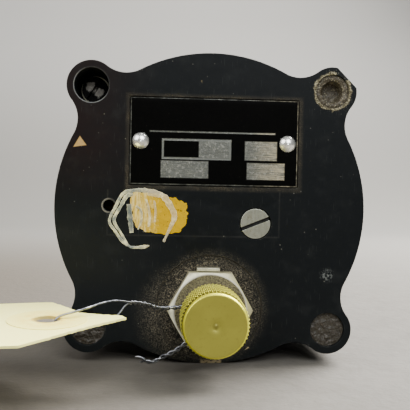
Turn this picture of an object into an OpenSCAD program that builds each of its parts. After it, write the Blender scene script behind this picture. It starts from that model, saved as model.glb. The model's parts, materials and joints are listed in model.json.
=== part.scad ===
// Panel pressure gauge with a Bourdon tube, seen from the back.
// Frame: the origin is the centre of the mounting face on the dial axis. The dial faces +Y, +Z is up.
// Every module draws in the back view: x to the right, y up, z = distance behind the mounting face.

/* [Case] */
// Radius of the round body
case_r = 40.5; // [39.5:0.1:42]
// Mounting face to back face
case_depth = 46; // [43:0.5:60]
// Thickness of the side wall
case_wall = 3.2; // [2.8:0.1:3.6]
// Thickness of the back wall
back_wall = 5; // [4:0.1:5.8]
// Width of the shoulder that the dial sits on
dial_shoulder_w = 2; // [1:0.1:2.2]
// How far outside the round body each corner screw's centre stands
screw_out = 3.95; // [3.8:0.05:4.4]
// Radius of each corner lobe
lobe_r = 6.4; // [6:0.1:7.4]
// Radius of the hollow between a lobe and the round body
lobe_fillet_r = 8; // [5:0.5:12]
// Screw hole centre to the trimmed corner's flat
corner_flat = 5.3; // [5:0.1:5.9]

/* [Corner screws] */
// Radius of the screw well in each lobe
well_r = 4.45; // [4.2:0.05:4.7]
// Depth of the screw well
well_depth = 12; // [9:0.5:16]
// Radius of the case screw's shank
case_screw_r = 1.5; // [1.3:0.05:1.6]
// Radius of the case screw's head
case_screw_head_r = 3.5; // [3:0.1:3.8]
// Height of the case screw's head
case_screw_head_h = 2.4; // [1.8:0.1:2.6]
// Thickness of the washer under the head
screw_washer_t = 0.6; // [0.4:0.1:1]
// Depth of the wax face below the back face
wax_drop = 0.8; // [0.3:0.1:2]
// Radius of the crater in the chipped wax
wax_crater_r = 2.9; // [2:0.1:3.4]

/* [Front flange] */
// Thickness of the flange
flange_t = 8; // [7:0.1:9]
// Height of the window register in front of the mounting face
register_h = 2.5; // [2:0.1:3]
// Wall of the window register
register_wall = 1.7; // [1.2:0.1:2]
// Thickness of the lip that holds the glass
lip_t = 1.5; // [1:0.1:1.8]
// Width of the lip over the glass
lip_w = 3; // [2:0.1:4]
// Radius of each threaded insert
insert_r = 3.2; // [3:0.1:3.5]
// Radius of the panel screw's thread bore
panel_bore_r = 2.05; // [1.9:0.05:2.3]
// Length of the panel screw's thread bore
panel_bore_len = 4.5; // [3:0.1:5]

/* [Window and dial] */
// Thickness of the glass gasket
glass_gasket_t = 0.5; // [0.3:0.1:1]
// Thickness of the glass
glass_t = 2; // [1.5:0.1:2.5]
// Height of the spacer ring between glass and dial
spacer_h = 7.5; // [6.5:0.1:8.5]
// Wall of the spacer ring
spacer_wall = 2.2; // [1.5:0.1:3]
// Thickness of the dial
dial_t = 1; // [0.8:0.1:1.2]
// Sweep of the pointer in degrees
sweep = 270; // [240:5:280]
// Length of the pointer from its centre
pointer_len = 27; // [20:0.5:30]
// Length of the pointer's tail
pointer_tail = 9; // [6:0.5:12]

/* [Movement] */
// Teeth of the centre pinion
pinion_teeth = 12; // [12:1:12]
// Teeth that the sector's full circle would have
sector_teeth = 120; // [120:1:120]
// Gear module
gear_module = 0.3; // [0.29:0.005:0.31]
// Direction of the sector's pivot from the dial axis in degrees
pivot_angle = 210.84; // [208:0.5:214]
// Arm length of the sector's tail
tail_arm = 6.6; // [6:0.1:7]
// Length of the link between its pins
link_len = 10; // [9:0.1:11]
// Gap between dial and front movement plate
post_h = 4; // [3:0.1:4.5]
// Thickness of the movement plates
plate_t = 1.5; // [1:0.1:1.8]
// Length of the pillars
pillar_h = 8; // [7.6:0.1:9]
// Radius of the pillars
pillar_r = 1.5; // [1.3:0.1:1.7]
// How far the Bourdon tube's centreline stands outside the union's axis
tube_out = 0.1; // [-0.4:0.1:1]
// Space that the Bourdon tube's width leaves between the rear plate and the back wall
tube_room = 6; // [5:0.5:8]
// Height of the Bourdon tube's section
tube_h = 3; // [2.4:0.1:3.4]
// Wall of the Bourdon tube
tube_wall = 0.4; // [0.3:0.05:0.6]

/* [Union and cap] */
// Union's axis in from the edge of the round body
union_in = 14.6; // [14.2:0.1:15]
// Size of the hexagon across its flats
hex_af = 19.3; // [18:0.1:20]
// Thickness of the hexagon
hex_t = 4; // [3:0.1:6]
// Radius of the union's thread
thread_r = 6; // [5.8:0.05:6.3]
// Length of the threaded end
thread_len = 12; // [8:0.5:14]
// Length of the neck between hexagon and thread
neck_len = 4; // [3:0.1:6]
// Radius of the neck
neck_r = 5.2; // [4.8:0.1:5.4]
// Radius of the union's bore
union_bore_r = 2.2; // [1.5:0.1:2.8]
// Radius of the spot face round the union
spot_face_r = 13.8; // [12.5:0.1:14]
// Depth of the spot face
spot_face_d = 0.4; // [0.2:0.1:0.8]
// Thickness of the tab washer
tab_washer_t = 0.8; // [0.6:0.1:1.2]
// Width of the washer's bent tab
tab_w = 5.9; // [4:0.1:7]
// Radius of the dust cap
cap_r = 8.1; // [7.9:0.1:9]
// Length of the dust cap
cap_len = 14.8; // [14:0.1:18]
// Gap between the hexagon and the dust cap
cap_gap = 5; // [4.7:0.1:6]
// Number of grooves in the cap's grip
cap_grooves = 60; // [40:1:72]

/* [Back face details] */
// Width of the data plate
plate_w = 43.6; // [40:0.1:45]
// Height of the data plate
plate_h = 22.4; // [20:0.1:24]
// Data plate's thickness
data_plate_t = 0.8; // [0.6:0.1:1]
// Depth of the recess under the data plate
recess_d = 0.5; // [0.3:0.1:0.6]
// Data plate's centre in from the top of the round body
plate_in = 23.15; // [22:0.05:23.5]
// Each rivet's centre in from the end of the data plate
rivet_in = 2.65; // [2.3:0.05:4.6]
// Radius of the rivet heads
rivet_r = 2.13; // [1.5:0.01:2.3]
// Radius of the adjusting plug's head
plug_r = 3.95; // [3.5:0.05:4.3]
// Radius of the vent hole
vent_r = 1.45; // [0.8:0.05:2]

/* [Seal wire and tag] */
// Thickness of one wire strand
strand_d = 0.56; // [0.4:0.02:0.7]
// Thickness of the card tag
tag_t = 0.5; // [0.3:0.05:0.7]
// Radius of the hole in the tag
tag_hole_r = 2.8; // [2.2:0.1:3.2]
// Radius of the tag's reinforcing ring
tag_ring_r = 8.5; // [7:0.1:9.5]

/* [Hidden] */
$fn = 72;

// Clearances
fit_gap = 0.05;          // running fits, radial
seat_gap = 0.3;          // loose seats
touch_gap = 0.2;         // between flat faces of moving pieces
eps = 0.01;

// Case
inner_r = case_r - case_wall;
pcd_r = case_r + screw_out;
hole_at = pcd_r / sqrt(2);
union_drop = case_r - union_in;
shoulder_r = inner_r - dial_shoulder_w;
inner_back = case_depth - back_wall;
corners = [[1, 1], [-1, 1], [-1, -1], [1, -1]];
well_floor = case_depth - well_depth;
shank_hole_r = case_screw_r + 0.2;
head_top = well_floor + screw_washer_t + case_screw_head_h;

// Window stack, from the front
lip_back = lip_t - register_h;
glass_front = lip_back + glass_gasket_t;
glass_back = glass_front + glass_t;
dial_front = glass_back + spacer_h;
dial_seat = dial_front + dial_t;
stack_r = inner_r - seat_gap;
window_r = stack_r - lip_w;
register_r = inner_r + register_wall;
groove_in = inner_r + 1;
groove_out = groove_in + 1.2;
groove_d = 0.8;

// Movement stations
front_plate_f = dial_seat + post_h;
front_plate_b = front_plate_f + plate_t;
rear_plate_f = front_plate_b + pillar_h;
rear_plate_b = rear_plate_f + plate_t;
gear_t = 1;
sector_f = front_plate_b + 3.5;
sector_b = sector_f + gear_t;
link_t = 0.8;
link_half_w = 1;
link_f = sector_b + touch_gap;
link_b = link_f + link_t;
lug_t = 1;
lug_f = link_b + touch_gap;
lug_b = lug_f + lug_t;
tube_gap = 1;            // rear plate to tube
tube_w = inner_back - rear_plate_b - tube_room;
tube_mid = rear_plate_b + tube_gap + tube_w / 2;

// Gears
pinion_pr = gear_module * pinion_teeth / 2;
sector_pr = gear_module * sector_teeth / 2;
centre_distance = pinion_pr + sector_pr;
pivot = centre_distance * [cos(pivot_angle), sin(pivot_angle)];
mesh_angle = pivot_angle - 180;
sector_travel = sweep * pinion_teeth / sector_teeth;
zero_angle = 90 - sweep / 2;
arbor_r = 0.9;
sector_arbor_r = 1;
pivot_r = 0.6;
pin_r = 0.5;
open_pivot_gap = 0.25;
tail_rest = 180 + sector_travel / 2;
tail_pos = pivot + tail_arm * [cos(tail_rest), sin(tail_rest)];
pin_in = 2.58203;          // link's upper pin to the tube's centreline
link_lean = asin((pin_in - union_drop - tube_out - tail_pos[0]) / link_len);
tip_pos = tail_pos + link_len * [sin(link_lean), cos(link_lean)];
pillar_x = 8.5;
pillar_y = 4;
pillar_left_y = 3.5;
pillar_low_x = 5;
pillar_low_out = 8.9;
pillar_pos = [[pillar_x, pillar_y], [pivot[0], pillar_left_y], [pillar_low_x, pillar_low_out - union_drop]];
post_pos = [pillar_pos[0], pillar_pos[1]];

// Movement plates and their small fixings
plate_edge = pivot[0] - 4;
plate_right = 12;
plate_top = 7;
plate_left_low = 14;
plate_waist = 9;
front_waist_low = 16;
front_foot = 2;
front_low = union_drop - 5.4;
rear_waist_low = union_drop - 7.9;
rear_low = union_drop + 5.1;
fixing_r = 0.8;
fixing_len = 2;
dial_screw_r = 1.6;
dial_screw_head = 0.8;
post_r = 1.8;
slot_w = 0.4;
stop_r = 0.5;
stop_len = 2.6;
dial_hole_r = 2.6;

// Bourdon tube and its end pieces
tube_r = union_drop + tube_out;
tube_start = -84;
tube_end = 180;
tip_block = [tube_h + 2, 4.5, tube_w + 1];
block_left = -8;
block_right = 6;
block_half_h = 5.5;
socket_gasket_t = 0.5;
socket_gasket_r = 7.5;
plate_screw_r = 1.25;
plate_screw_head = 2;
block_back = inner_back - socket_gasket_t;
spigot_r = 4.7;
spigot_len = block_back - tube_mid - tube_w / 2 - socket_gasket_t;
plate_screw_pos = [[-5, -union_drop - 3.1, 0], [-5, -union_drop + 3.1, 0]];

// Union and cap stations
spot_face = case_depth - spot_face_d;
hex_f = spot_face + tab_washer_t;
hex_b = hex_f + hex_t;
thread_f = hex_b + neck_len;
union_end = thread_f + thread_len;
union_hole_r = spigot_r + seat_gap;
cap_f = hex_b + cap_gap;
cap_b = cap_f + cap_len;
cap_bore_r = thread_r + 0.15;
cap_floor = union_end + 1.5;
wire_station = (hex_b + thread_f) / 2;
loop_r = neck_r + seat_gap + strand_d / 2;
pair_r = strand_d * 0.95;

// Back face
face_scale = case_r / 40.5;
plate_x = 0.55;
plate_y = case_r - plate_in;
rivet_spacing = plate_w - 2 * rivet_in;
rivet_head_h = 1.1;
rivet_len = 3.5;
plug_pos = face_scale * [11.75, -3.65];
vent_pos = face_scale * [-26.5, 0.45];
label_drop = 6.15;
label_y = plate_y - plate_h / 2 - label_drop;
plug_head_t = 1.6;
plug_shank_r = 2.8;
rivet_shank_r = 1;
label_t = 0.15;
label_outline = [[-21.1, 3.4], [-19.7, 4.5], [-16, 3.9], [-11.7, 3.3], [-8.8, 2.5], [-6.5, 1.6], [-6.1, -1],
    [-6.4, -4.4], [-8.6, -6.3], [-11.2, -6.6], [-14.5, -6.6], [-18, -5.8], [-19.3, -5.1], [-20.2, -2.6],
    [-20.8, 0.7]];

// Tag: its own plan has the hole at the origin, x away from the gauge and y towards the viewer
tag_outline = [[-17, -1.5], [-16, -3.5], [-12, -4.5], [-7, -6.5], [-5.5, -10], [-1, -17], [53, -17],
    [53, 19], [5, 19]];
tag_hole = [-36.7, 2.3, 24.4];
tag_turn = 9;
tag_tilt = 3;

// Wire routes, measured from the union's axis at the wire's station, chosen along the photographed wire
pair_start = loop_r * [cos(167), sin(167), 0];
tail_start = loop_r * [cos(230), sin(230), 0];
pair_route = [pair_start, [-7.4, 1.3, 0.2], [-10.7, 1.2, 1.1], [-13.4, 1.5, 3.1], [-16.3, 3, 6.6],
    [-19.6, 4.1, 10.6]];
tail_route = [tail_start, [-5.1, -6.7, 0.6], [-8.6, -9.1, 2.1], [-12.2, -10.7, 3.1], [-14.6, -11.7, 3.8],
    [-18.5, -10, 5.1]];
strand_route = [[-19.4, 4.1, 10.4], [-22.8, 5, 13.6], [-25.6, 5, 16.6], [-28, 4.6, 19.6], [-31, 4, 22.4],
    [-34.2, 3.2, 23.8], [-35, 2.1, 24.2], [-34.6, 0.8, 23.8], [-31.5, 0, 21.6], [-28, -0.2, 18.1],
    [-24.6, 0.3, 14.6], [-22.4, 1.7, 13], [-20.9, 3.5, 11.6]];

module back_view() {
    rotate([90, 0, 0]) children();
}

module ring(r_out, r_in, z0, z1) {
    translate([0, 0, z0]) difference() {
        cylinder(r = r_out, h = z1 - z0);
        translate([0, 0, -1]) cylinder(r = r_in, h = z1 - z0 + 2);
    }
}

module disc(r, z0, z1) {
    translate([0, 0, z0]) cylinder(r = r, h = z1 - z0);
}

module at_corners() {
    for (c = corners) translate([c[0] * hole_at, c[1] * hole_at, 0]) children();
}

// One lobe with its two hollows, drawn along +x. The hollows bite a hair into both circles, so none only touch
module lobe_2d(fillet_r) {
    bite = 0.01;
    f = case_r + fillet_r;
    l = lobe_r + fillet_r;
    x = (pcd_r * pcd_r + f * f - l * l) / (2 * pcd_r);
    y = sqrt(f * f - x * x);
    translate([pcd_r, 0]) circle(r = lobe_r);
    difference() {
        polygon([[0, 0], [x, -y], [pcd_r, 0], [x, y]]);
        translate([x, y]) circle(r = fillet_r + bite);
        translate([x, -y]) circle(r = fillet_r + bite);
    }
}

module lobed_outline() {
    circle(r = case_r);
    for (a = [45:90:315]) rotate(a) lobe_2d(lobe_fillet_r);
}

module lobed_block(z0, z1) {
    translate([0, 0, z0]) linear_extrude(z1 - z0) lobed_outline();
}

module at_union() {
    translate([0, -union_drop, 0]) children();
}

module at_wire() {
    translate([0, -union_drop, wire_station]) children();
}

// Case and front

module case_body() {
    color([0.10, 0.10, 0.11]) back_view() difference() {
        lobed_block(flange_t, case_depth);
        disc(inner_r, flange_t - 1, dial_seat);
        disc(shoulder_r, flange_t, inner_back);
        ring(groove_out, groove_in, flange_t - 1, flange_t + groove_d);
        at_corners() disc(shank_hole_r, flange_t - 1, case_depth);
        at_corners() disc(well_r, well_floor, case_depth + 1);
        rotate(45) translate([pcd_r + corner_flat, -case_r, flange_t - 1])
            cube([case_r, 2 * case_r, case_depth]);
        translate([plate_x - plate_w / 2 - seat_gap, plate_y - plate_h / 2 - seat_gap, case_depth - recess_d])
            cube([plate_w + 2 * seat_gap, plate_h + 2 * seat_gap, recess_d + 1]);
        for (s = [-1, 1]) translate([plate_x + s * rivet_spacing / 2, plate_y, 0])
            disc(rivet_shank_r, case_depth - rivet_len, case_depth);
        at_union() disc(spot_face_r, spot_face, case_depth + 1);
        at_union() disc(union_hole_r, inner_back - 1, case_depth);
        translate(plug_pos) disc(plug_r + 0.2, case_depth - plug_head_t, case_depth + 1);
        translate(plug_pos) disc(plug_shank_r + fit_gap, inner_back - 1, case_depth);
        translate(vent_pos) disc(vent_r, inner_back - 1, case_depth + 1);
    }
}

module case_gasket() {
    color([0.16, 0.16, 0.15]) back_view() ring(groove_out, groove_in, flange_t, flange_t + groove_d);
}

module front_flange() {
    color([0.14, 0.14, 0.15]) back_view() difference() {
        union() {
            lobed_block(0, flange_t);
            rotate_extrude() polygon([[0, -register_h], [register_r - 0.4, -register_h],
                [register_r, 0.4 - register_h], [register_r, 1], [0, 1]]);
        }
        disc(window_r, -register_h - 1, flange_t);
        disc(inner_r, lip_back, flange_t + 1);
        at_corners() disc(insert_r, -1, flange_t + 1);
    }
}

module thread_inserts() {
    color([0.72, 0.58, 0.30]) back_view() at_corners() difference() {
        disc(insert_r, 0, flange_t);
        disc(panel_bore_r, -1, panel_bore_len);
        disc(case_screw_r + fit_gap, panel_bore_len - 1, flange_t + 1);
    }
}

module case_screws() {
    color([0.62, 0.62, 0.58]) back_view() at_corners() difference() {
        union() {
            disc(case_screw_r, panel_bore_len + 0.4, head_top);
            disc(case_screw_head_r, well_floor + screw_washer_t, head_top);
        }
        rotate(57) translate([-case_screw_head_r - 1, -0.45, head_top - 1.1])
            cube([2 * case_screw_head_r + 2, 0.9, 3]);
    }
}

module screw_washers() {
    color([0.66, 0.64, 0.58]) back_view()
        at_corners() ring(case_screw_head_r + 0.4, case_screw_r + fit_gap, well_floor,
            well_floor + screw_washer_t);
}

module sealing_wax() {
    wax_top = case_depth - wax_drop;
    color([0.36, 0.12, 0.08]) back_view() {
        for (s = [-1, 1]) translate([s * hole_at, -hole_at, 0]) disc(well_r, head_top, wax_top);
        translate([hole_at, hole_at, 0]) difference() {
            disc(well_r, head_top, case_depth - 0.2);
            disc(wax_crater_r, case_depth - 4, case_depth);
        }
    }
}

module glass() {
    color([0.80, 0.90, 0.92, 0.35]) back_view() disc(stack_r, glass_front, glass_back);
}

module glass_gasket() {
    color([0.12, 0.12, 0.12]) back_view() ring(stack_r, window_r + 0.5, lip_back, glass_front);
}

module spacer_ring() {
    color([0.15, 0.15, 0.15]) back_view() ring(stack_r, stack_r - spacer_wall, glass_back, dial_front);
}

module at_stop() {
    rotate(zero_angle - 10) translate([pointer_len * 0.6, 0, 0]) children();
}

module dial() {
    color([0.05, 0.05, 0.05]) back_view() difference() {
        disc(stack_r, dial_front, dial_seat);
        disc(dial_hole_r, dial_front - 1, dial_seat + 1);
        for (p = post_pos) translate(p) disc(fixing_r, dial_front - 1, dial_seat + 1);
        at_stop() disc(stop_r, dial_front - 1, dial_seat + 1);
    }
}

module dial_screws() {
    color([0.2, 0.2, 0.2]) back_view() for (p = post_pos) translate(p) difference() {
        union() {
            disc(dial_screw_r, dial_front - dial_screw_head, dial_front);
            disc(fixing_r, dial_front, dial_seat + fixing_len);
        }
        translate([-dial_screw_r - 1, -slot_w / 2, dial_front - dial_screw_head - 1])
            cube([2 * dial_screw_r + 2, slot_w, 1 + dial_screw_head / 2]);
    }
}

module dial_posts() {
    color([0.75, 0.62, 0.32]) back_view() for (p = post_pos) translate(p) difference() {
        union() {
            disc(post_r, dial_seat, front_plate_f);
            disc(fixing_r, front_plate_f, front_plate_b + fixing_len);
        }
        disc(fixing_r, dial_seat - 1, dial_seat + fixing_len);
    }
}

module zero_stop() {
    color([0.7, 0.7, 0.68]) back_view()
        at_stop() disc(stop_r, dial_front - stop_len, dial_seat);
}

// Pointer and movement

pointer_back = dial_front - 1.4;
pointer_front = pointer_back - 0.6;
hub_front = pointer_front - 0.6;

module pointer() {
    color([0.93, 0.92, 0.86]) back_view() rotate(zero_angle) translate([0, 0, pointer_front]) difference() {
        linear_extrude(pointer_back - pointer_front) union() {
            circle(r = 3.4);
            polygon([[-pointer_tail, -1.6], [0, -1.1], [pointer_len * 0.75, -0.9], [pointer_len, 0],
                [pointer_len * 0.75, 0.9], [0, 1.1], [-pointer_tail, 1.6]]);
        }
        translate([0, 0, -1]) cylinder(r = arbor_r, h = 3);
    }
}

module pointer_hub() {
    color([0.12, 0.12, 0.12]) back_view() ring(2.2, arbor_r, hub_front, pointer_front);
}

// Half of the angle that a tooth of this gear fills at radius r
function roll(pr, r) = let (b = pr * cos(20), t = sqrt(max(r * r / (b * b) - 1, 0))) t * 180 / PI - atan(t);
function half_tooth(pr, teeth, r) =
    90 / teeth - tooth_play / 2 / pr * 180 / PI + roll(pr, pr) - roll(pr, r);
tooth_play = 0.09;
flank_steps = 4;
function flank(pr, teeth, r0, r1) = [for (i = [0:flank_steps]) let (r = r0 + (r1 - r0) * i / flank_steps)
    [r, half_tooth(pr, teeth, r)]];
function tooth(pr, teeth, root, r0, r1, at) = let (f = flank(pr, teeth, r0, r1)) concat(
    [root * [cos(at - f[0][1]), sin(at - f[0][1])]],
    [for (p = f) p[0] * [cos(at - p[1]), sin(at - p[1])]],
    [for (i = [flank_steps:-1:0]) f[i][0] * [cos(at + f[i][1]), sin(at + f[i][1])]],
    [root * [cos(at + f[0][1]), sin(at + f[0][1])]]);
function flat1(list) = [for (l = list) for (p = l) p];

pinion_root = pinion_pr - 1.3 * gear_module;
pinion_tip = pinion_pr + 0.9 * gear_module;
sector_root = sector_pr - 1.2 * gear_module;
sector_tip = sector_pr + 0.6 * gear_module;
tooth_step = 360 / sector_teeth;
first_tooth = -2;
last_tooth = ceil(sector_travel / tooth_step) + 2;

module centre_pinion() {
    step = 360 / pinion_teeth;
    teeth = flat1([for (i = [0:pinion_teeth - 1])
        tooth(pinion_pr, pinion_teeth, pinion_root, pinion_pr * cos(20) + eps, pinion_tip,
            pivot_angle + step / 2 + i * step)]);
    color([0.78, 0.66, 0.34]) back_view() {
        translate([0, 0, sector_f - 1.2]) linear_extrude(gear_t + 2.4) polygon(teeth);
        disc(arbor_r, hub_front + 0.2, rear_plate_f - 0.1);
        disc(pivot_r, rear_plate_f - 0.2, rear_plate_b - 0.1);
    }
}

module hairspring_collet() {
    color([0.78, 0.66, 0.34]) back_view() ring(1.4, arbor_r, front_plate_b + 0.4, sector_f - 1.4);
}

spring_turns = 5;
spring_in = 1.7;
spring_out = 6;
spring_t = 0.22;
spring_gap = 0.7;
stud_len = 1.4;
stud_w = 1.6;
spring_w = 0.8;
spring_f = front_plate_b + spring_gap;
spring_b = spring_f + spring_w;
function spiral(t, off) = let (a = t * spring_turns * 360, r = spring_in + (spring_out - spring_in) * t + off)
    r * [cos(a), sin(a)];

module hairspring() {
    n = spring_turns * 24;
    color([0.35, 0.38, 0.50]) back_view() translate([0, 0, spring_f]) linear_extrude(spring_b - spring_f)
        polygon(concat([for (i = [0:n]) spiral(i / n, 0)], [for (i = [n:-1:0]) spiral(i / n, spring_t)]));
}

module hairspring_stud() {
    color([0.75, 0.62, 0.32]) back_view()
        translate([spring_out + spring_t, -stud_w / 2, front_plate_b])
            cube([stud_len, stud_w, spring_b - front_plate_b]);
}

module sector_gear() {
    a0 = mesh_angle + first_tooth * tooth_step;
    a1 = mesh_angle + last_tooth * tooth_step;
    teeth = flat1([for (i = [first_tooth:last_tooth])
        tooth(sector_pr, sector_teeth, sector_root, sector_root + 0.1, sector_tip,
            mesh_angle + i * tooth_step)]);
    color([0.80, 0.68, 0.36]) back_view() translate([pivot[0], pivot[1], 0]) difference() {
        union() {
            translate([0, 0, sector_f]) linear_extrude(gear_t) union() {
                polygon(concat([[0, 0]], teeth));
                circle(r = 2.8);
                rotate(tail_rest) translate([0, -1.4]) square([tail_arm, 2.8]);
                rotate(tail_rest) translate([tail_arm, 0]) circle(r = 1.7);
            }
            disc(2, sector_f - 0.8, sector_f);
        }
        disc(sector_arbor_r, sector_f - 2, sector_b + 1);
        rotate(tail_rest) translate([tail_arm, 0, 0]) disc(pin_r + open_pivot_gap, sector_f - 1, sector_b + 1);
        rotate((a0 + a1) / 2) translate([sector_root * 0.55, 0, 0]) disc(2.6, sector_f - 1, sector_b + 1);
    }
}

module sector_arbor() {
    color([0.72, 0.72, 0.70]) back_view() translate([pivot[0], pivot[1], 0]) {
        disc(sector_arbor_r, front_plate_b + 0.1, rear_plate_f - 0.1);
        disc(pivot_r, front_plate_f + 0.1, front_plate_b + 0.2);
        disc(pivot_r, rear_plate_f - 0.2, rear_plate_b - 0.1);
    }
}

module pivot_holes(z0, z1, centre_hole) {
    disc(centre_hole, z0, z1);
    translate([pivot[0], pivot[1], 0]) disc(pivot_r + fit_gap, z0, z1);
    for (p = pillar_pos) translate(p) disc(fixing_r, z0, z1);
}

module front_plate() {
    color([0.78, 0.65, 0.34]) back_view() difference() {
        translate([0, 0, front_plate_f]) linear_extrude(plate_t) polygon([[plate_edge, -plate_left_low],
            [plate_edge, plate_top], [plate_right, plate_top], [plate_right, -front_low],
            [front_foot, -front_low], [-plate_waist, -front_waist_low]]);
        pivot_holes(front_plate_f - 1, front_plate_b + 1, arbor_r + fit_gap);
    }
}

module rear_plate() {
    color([0.78, 0.65, 0.34]) back_view() difference() {
        translate([0, 0, rear_plate_f]) linear_extrude(plate_t) polygon([[plate_edge, -plate_left_low],
            [plate_edge, plate_top], [plate_right, plate_top], [plate_right, -plate_left_low],
            [block_right + 1, -rear_low], [block_left, -rear_low], [-plate_waist, -rear_waist_low]]);
        pivot_holes(rear_plate_f - 1, rear_plate_b + 1, pivot_r + fit_gap);
        for (p = plate_screw_pos) translate(p) disc(plate_screw_r, rear_plate_f - 1, rear_plate_b + 1);
    }
}

module pillars() {
    color([0.75, 0.62, 0.32]) back_view() for (p = pillar_pos) translate(p) difference() {
        disc(pillar_r, front_plate_b, rear_plate_f);
        disc(fixing_r, front_plate_b - 1, front_plate_b + fixing_len + 0.5);
        disc(fixing_r, rear_plate_f - fixing_len - 0.5, rear_plate_f + 1);
    }
}

// A slotted screw along z: its head from z0 to z1, its shank to z2
module small_screw(head_r, shank_r, z0, z1, z2) {
    down = z2 > z1;
    difference() {
        union() {
            disc(head_r, min(z0, z1), max(z0, z1));
            disc(shank_r, min(z1, z2), max(z1, z2));
        }
        translate([-head_r - 1, -slot_w / 2, down ? z0 - 1 : z0 - 0.4]) cube([2 * head_r + 2, slot_w, 1.4]);
    }
}

module movement_screws() {
    color([0.45, 0.47, 0.52]) back_view() {
        translate(pillar_pos[2])
            small_screw(1.4, fixing_r, front_plate_f - 0.8, front_plate_f, front_plate_b + fixing_len);
        for (p = pillar_pos) translate(p)
            small_screw(1.4, fixing_r, rear_plate_b + 0.8, rear_plate_b, rear_plate_f - fixing_len);
        for (p = plate_screw_pos) translate(p)
            small_screw(plate_screw_head, plate_screw_r, rear_plate_f - 0.9, rear_plate_f, rear_plate_b + 4);
    }
}

// Oval section of the tube, in radius and width
module tube_section(grow) {
    h = tube_h + 2 * grow;
    w = tube_w + 2 * grow;
    translate([tube_r, 0]) {
        translate([-h / 2, -(w - h) / 2]) square([h, w - h]);
        for (s = [-1, 1]) translate([0, s * (w - h) / 2]) circle(r = h / 2);
    }
}

module tube_arc(grow, from, to) {
    translate([0, 0, tube_mid]) rotate(from) rotate_extrude(angle = to - from) tube_section(grow);
}

module bourdon_tube() {
    color([0.80, 0.66, 0.36]) back_view() difference() {
        tube_arc(0, tube_start, tube_end);
        tube_arc(-tube_wall, tube_start - 1, tube_end + 1);
    }
}

module tube_tip() {
    x0 = -tube_r - tip_block[0] / 2;
    lug_left = min(x0, tip_pos[0] - 1.6);
    lug_right = max(x0 + 2.6, tip_pos[0] + 1.6);
    color([0.74, 0.60, 0.32]) back_view() difference() {
        union() {
            translate([x0, -tip_block[1], tube_mid - tip_block[2] / 2]) cube(tip_block);
            translate([x0, -tip_block[1], lug_f]) cube([2.6, tip_block[1], tube_mid - lug_f]);
            translate([lug_left, -tip_block[1], lug_f]) cube([lug_right - lug_left, tip_block[1], lug_t]);
        }
        translate(tip_pos) disc(pin_r, lug_f - 1, lug_b + 1);
    }
}

module tip_pin() {
    color([0.7, 0.7, 0.7]) back_view() translate(tip_pos) {
        disc(pin_r, link_f - 0.4, lug_b);
        disc(0.9, link_f - 0.6, link_f - 0.2);
    }
}

module link() {
    color([0.70, 0.70, 0.68]) back_view() difference() {
        translate([0, 0, link_f]) linear_extrude(link_t) union() {
            translate(tail_pos) circle(r = 1.5);
            translate(tip_pos) circle(r = 1.5);
            translate(tail_pos) rotate(-link_lean) translate([-link_half_w, 0])
                square([2 * link_half_w, link_len]);
        }
        translate(tip_pos) disc(pin_r + fit_gap, link_f - 1, link_b + 1);
        translate(tail_pos) disc(pin_r, link_f - 1, link_b + 1);
    }
}

module tail_pin() {
    color([0.7, 0.7, 0.7]) back_view() translate(tail_pos) {
        disc(pin_r, sector_f - 0.4, link_b);
        disc(1, sector_f - 0.6, sector_f - 0.2);
    }
}

module tube_socket() {
    color([0.74, 0.60, 0.32]) back_view() difference() {
        translate([block_left, -union_drop - block_half_h, rear_plate_b])
            cube([block_right - block_left, 2 * block_half_h, block_back - rear_plate_b]);
        tube_arc(0, tube_start, tube_start + 20);
        at_union() disc(spigot_r, block_back - spigot_len, block_back + 1);
        at_union() disc(1.3, tube_mid, block_back);
        translate([0, -union_drop, tube_mid]) rotate([0, 90, 0]) cylinder(r = 0.9, h = block_right);
        for (p = plate_screw_pos) translate(p) disc(plate_screw_r, rear_plate_b - 1, rear_plate_b + 4);
    }
}

module socket_gasket() {
    color([0.30, 0.10, 0.08]) back_view()
        at_union() ring(socket_gasket_r, union_hole_r, block_back, inner_back);
}

// Union and cap

module pressure_union() {
    nose_w = 1;
    hex_r = hex_af / 2 / cos(30);
    face_r = hex_af / 2 - 0.2;
    drop = (hex_r - face_r) * tan(30);
    grooves = floor((thread_len - 3) / 1.5);
    color([0.66, 0.64, 0.56]) back_view() at_union() difference() {
        union() {
            intersection() {
                translate([0, 0, hex_f]) rotate(0) linear_extrude(hex_t) polygon([for (i = [0:5])
                    hex_r * [cos(60 * i), sin(60 * i)]]);
                rotate_extrude() polygon([[0, hex_f], [hex_r + 1, hex_f], [hex_r + 1, hex_b - drop],
                    [hex_r, hex_b - drop], [face_r, hex_b], [0, hex_b]]);
            }
            disc(spigot_r, block_back - spigot_len, hex_f);
            disc(neck_r, hex_b, thread_f);
            rotate_extrude() polygon([[0, thread_f], [thread_r - 0.6, thread_f], [thread_r, thread_f + 0.6],
                [thread_r, union_end - nose_w], [thread_r - nose_w, union_end], [0, union_end]]);
        }
        disc(union_bore_r, block_back - spigot_len - 1, union_end + 1);
        rotate_extrude() polygon([[0, union_end - 2], [union_bore_r - eps, union_end - 2],
            [union_bore_r + 1.8, union_end + eps], [0, union_end + eps]]);
        for (i = [0:grooves]) translate([0, 0, thread_f + 1.5 + i * 1.5]) rotate_extrude()
            polygon([[thread_r + 1, -1.6], [thread_r + 1, 1.6], [thread_r - 0.6, 0.15], [thread_r - 0.6, -0.15]]);
    }
}

module tab_washer() {
    ring_out = hex_af / 2 - 0.25;
    tab_in = hex_af / 2 + 0.25;
    color([0.62, 0.60, 0.54]) back_view() at_union() difference() {
        union() {
            disc(ring_out, spot_face, hex_f);
            translate([-tab_w / 2 - 0.5, 0, spot_face]) cube([tab_w, tab_in + tab_washer_t, tab_washer_t]);
            translate([-tab_w / 2 - 0.5, tab_in, spot_face]) cube([tab_w, tab_washer_t, hex_t * 0.75]);
        }
        disc(spigot_r + 0.1, spot_face - 1, hex_f + 1);
    }
}

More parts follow.
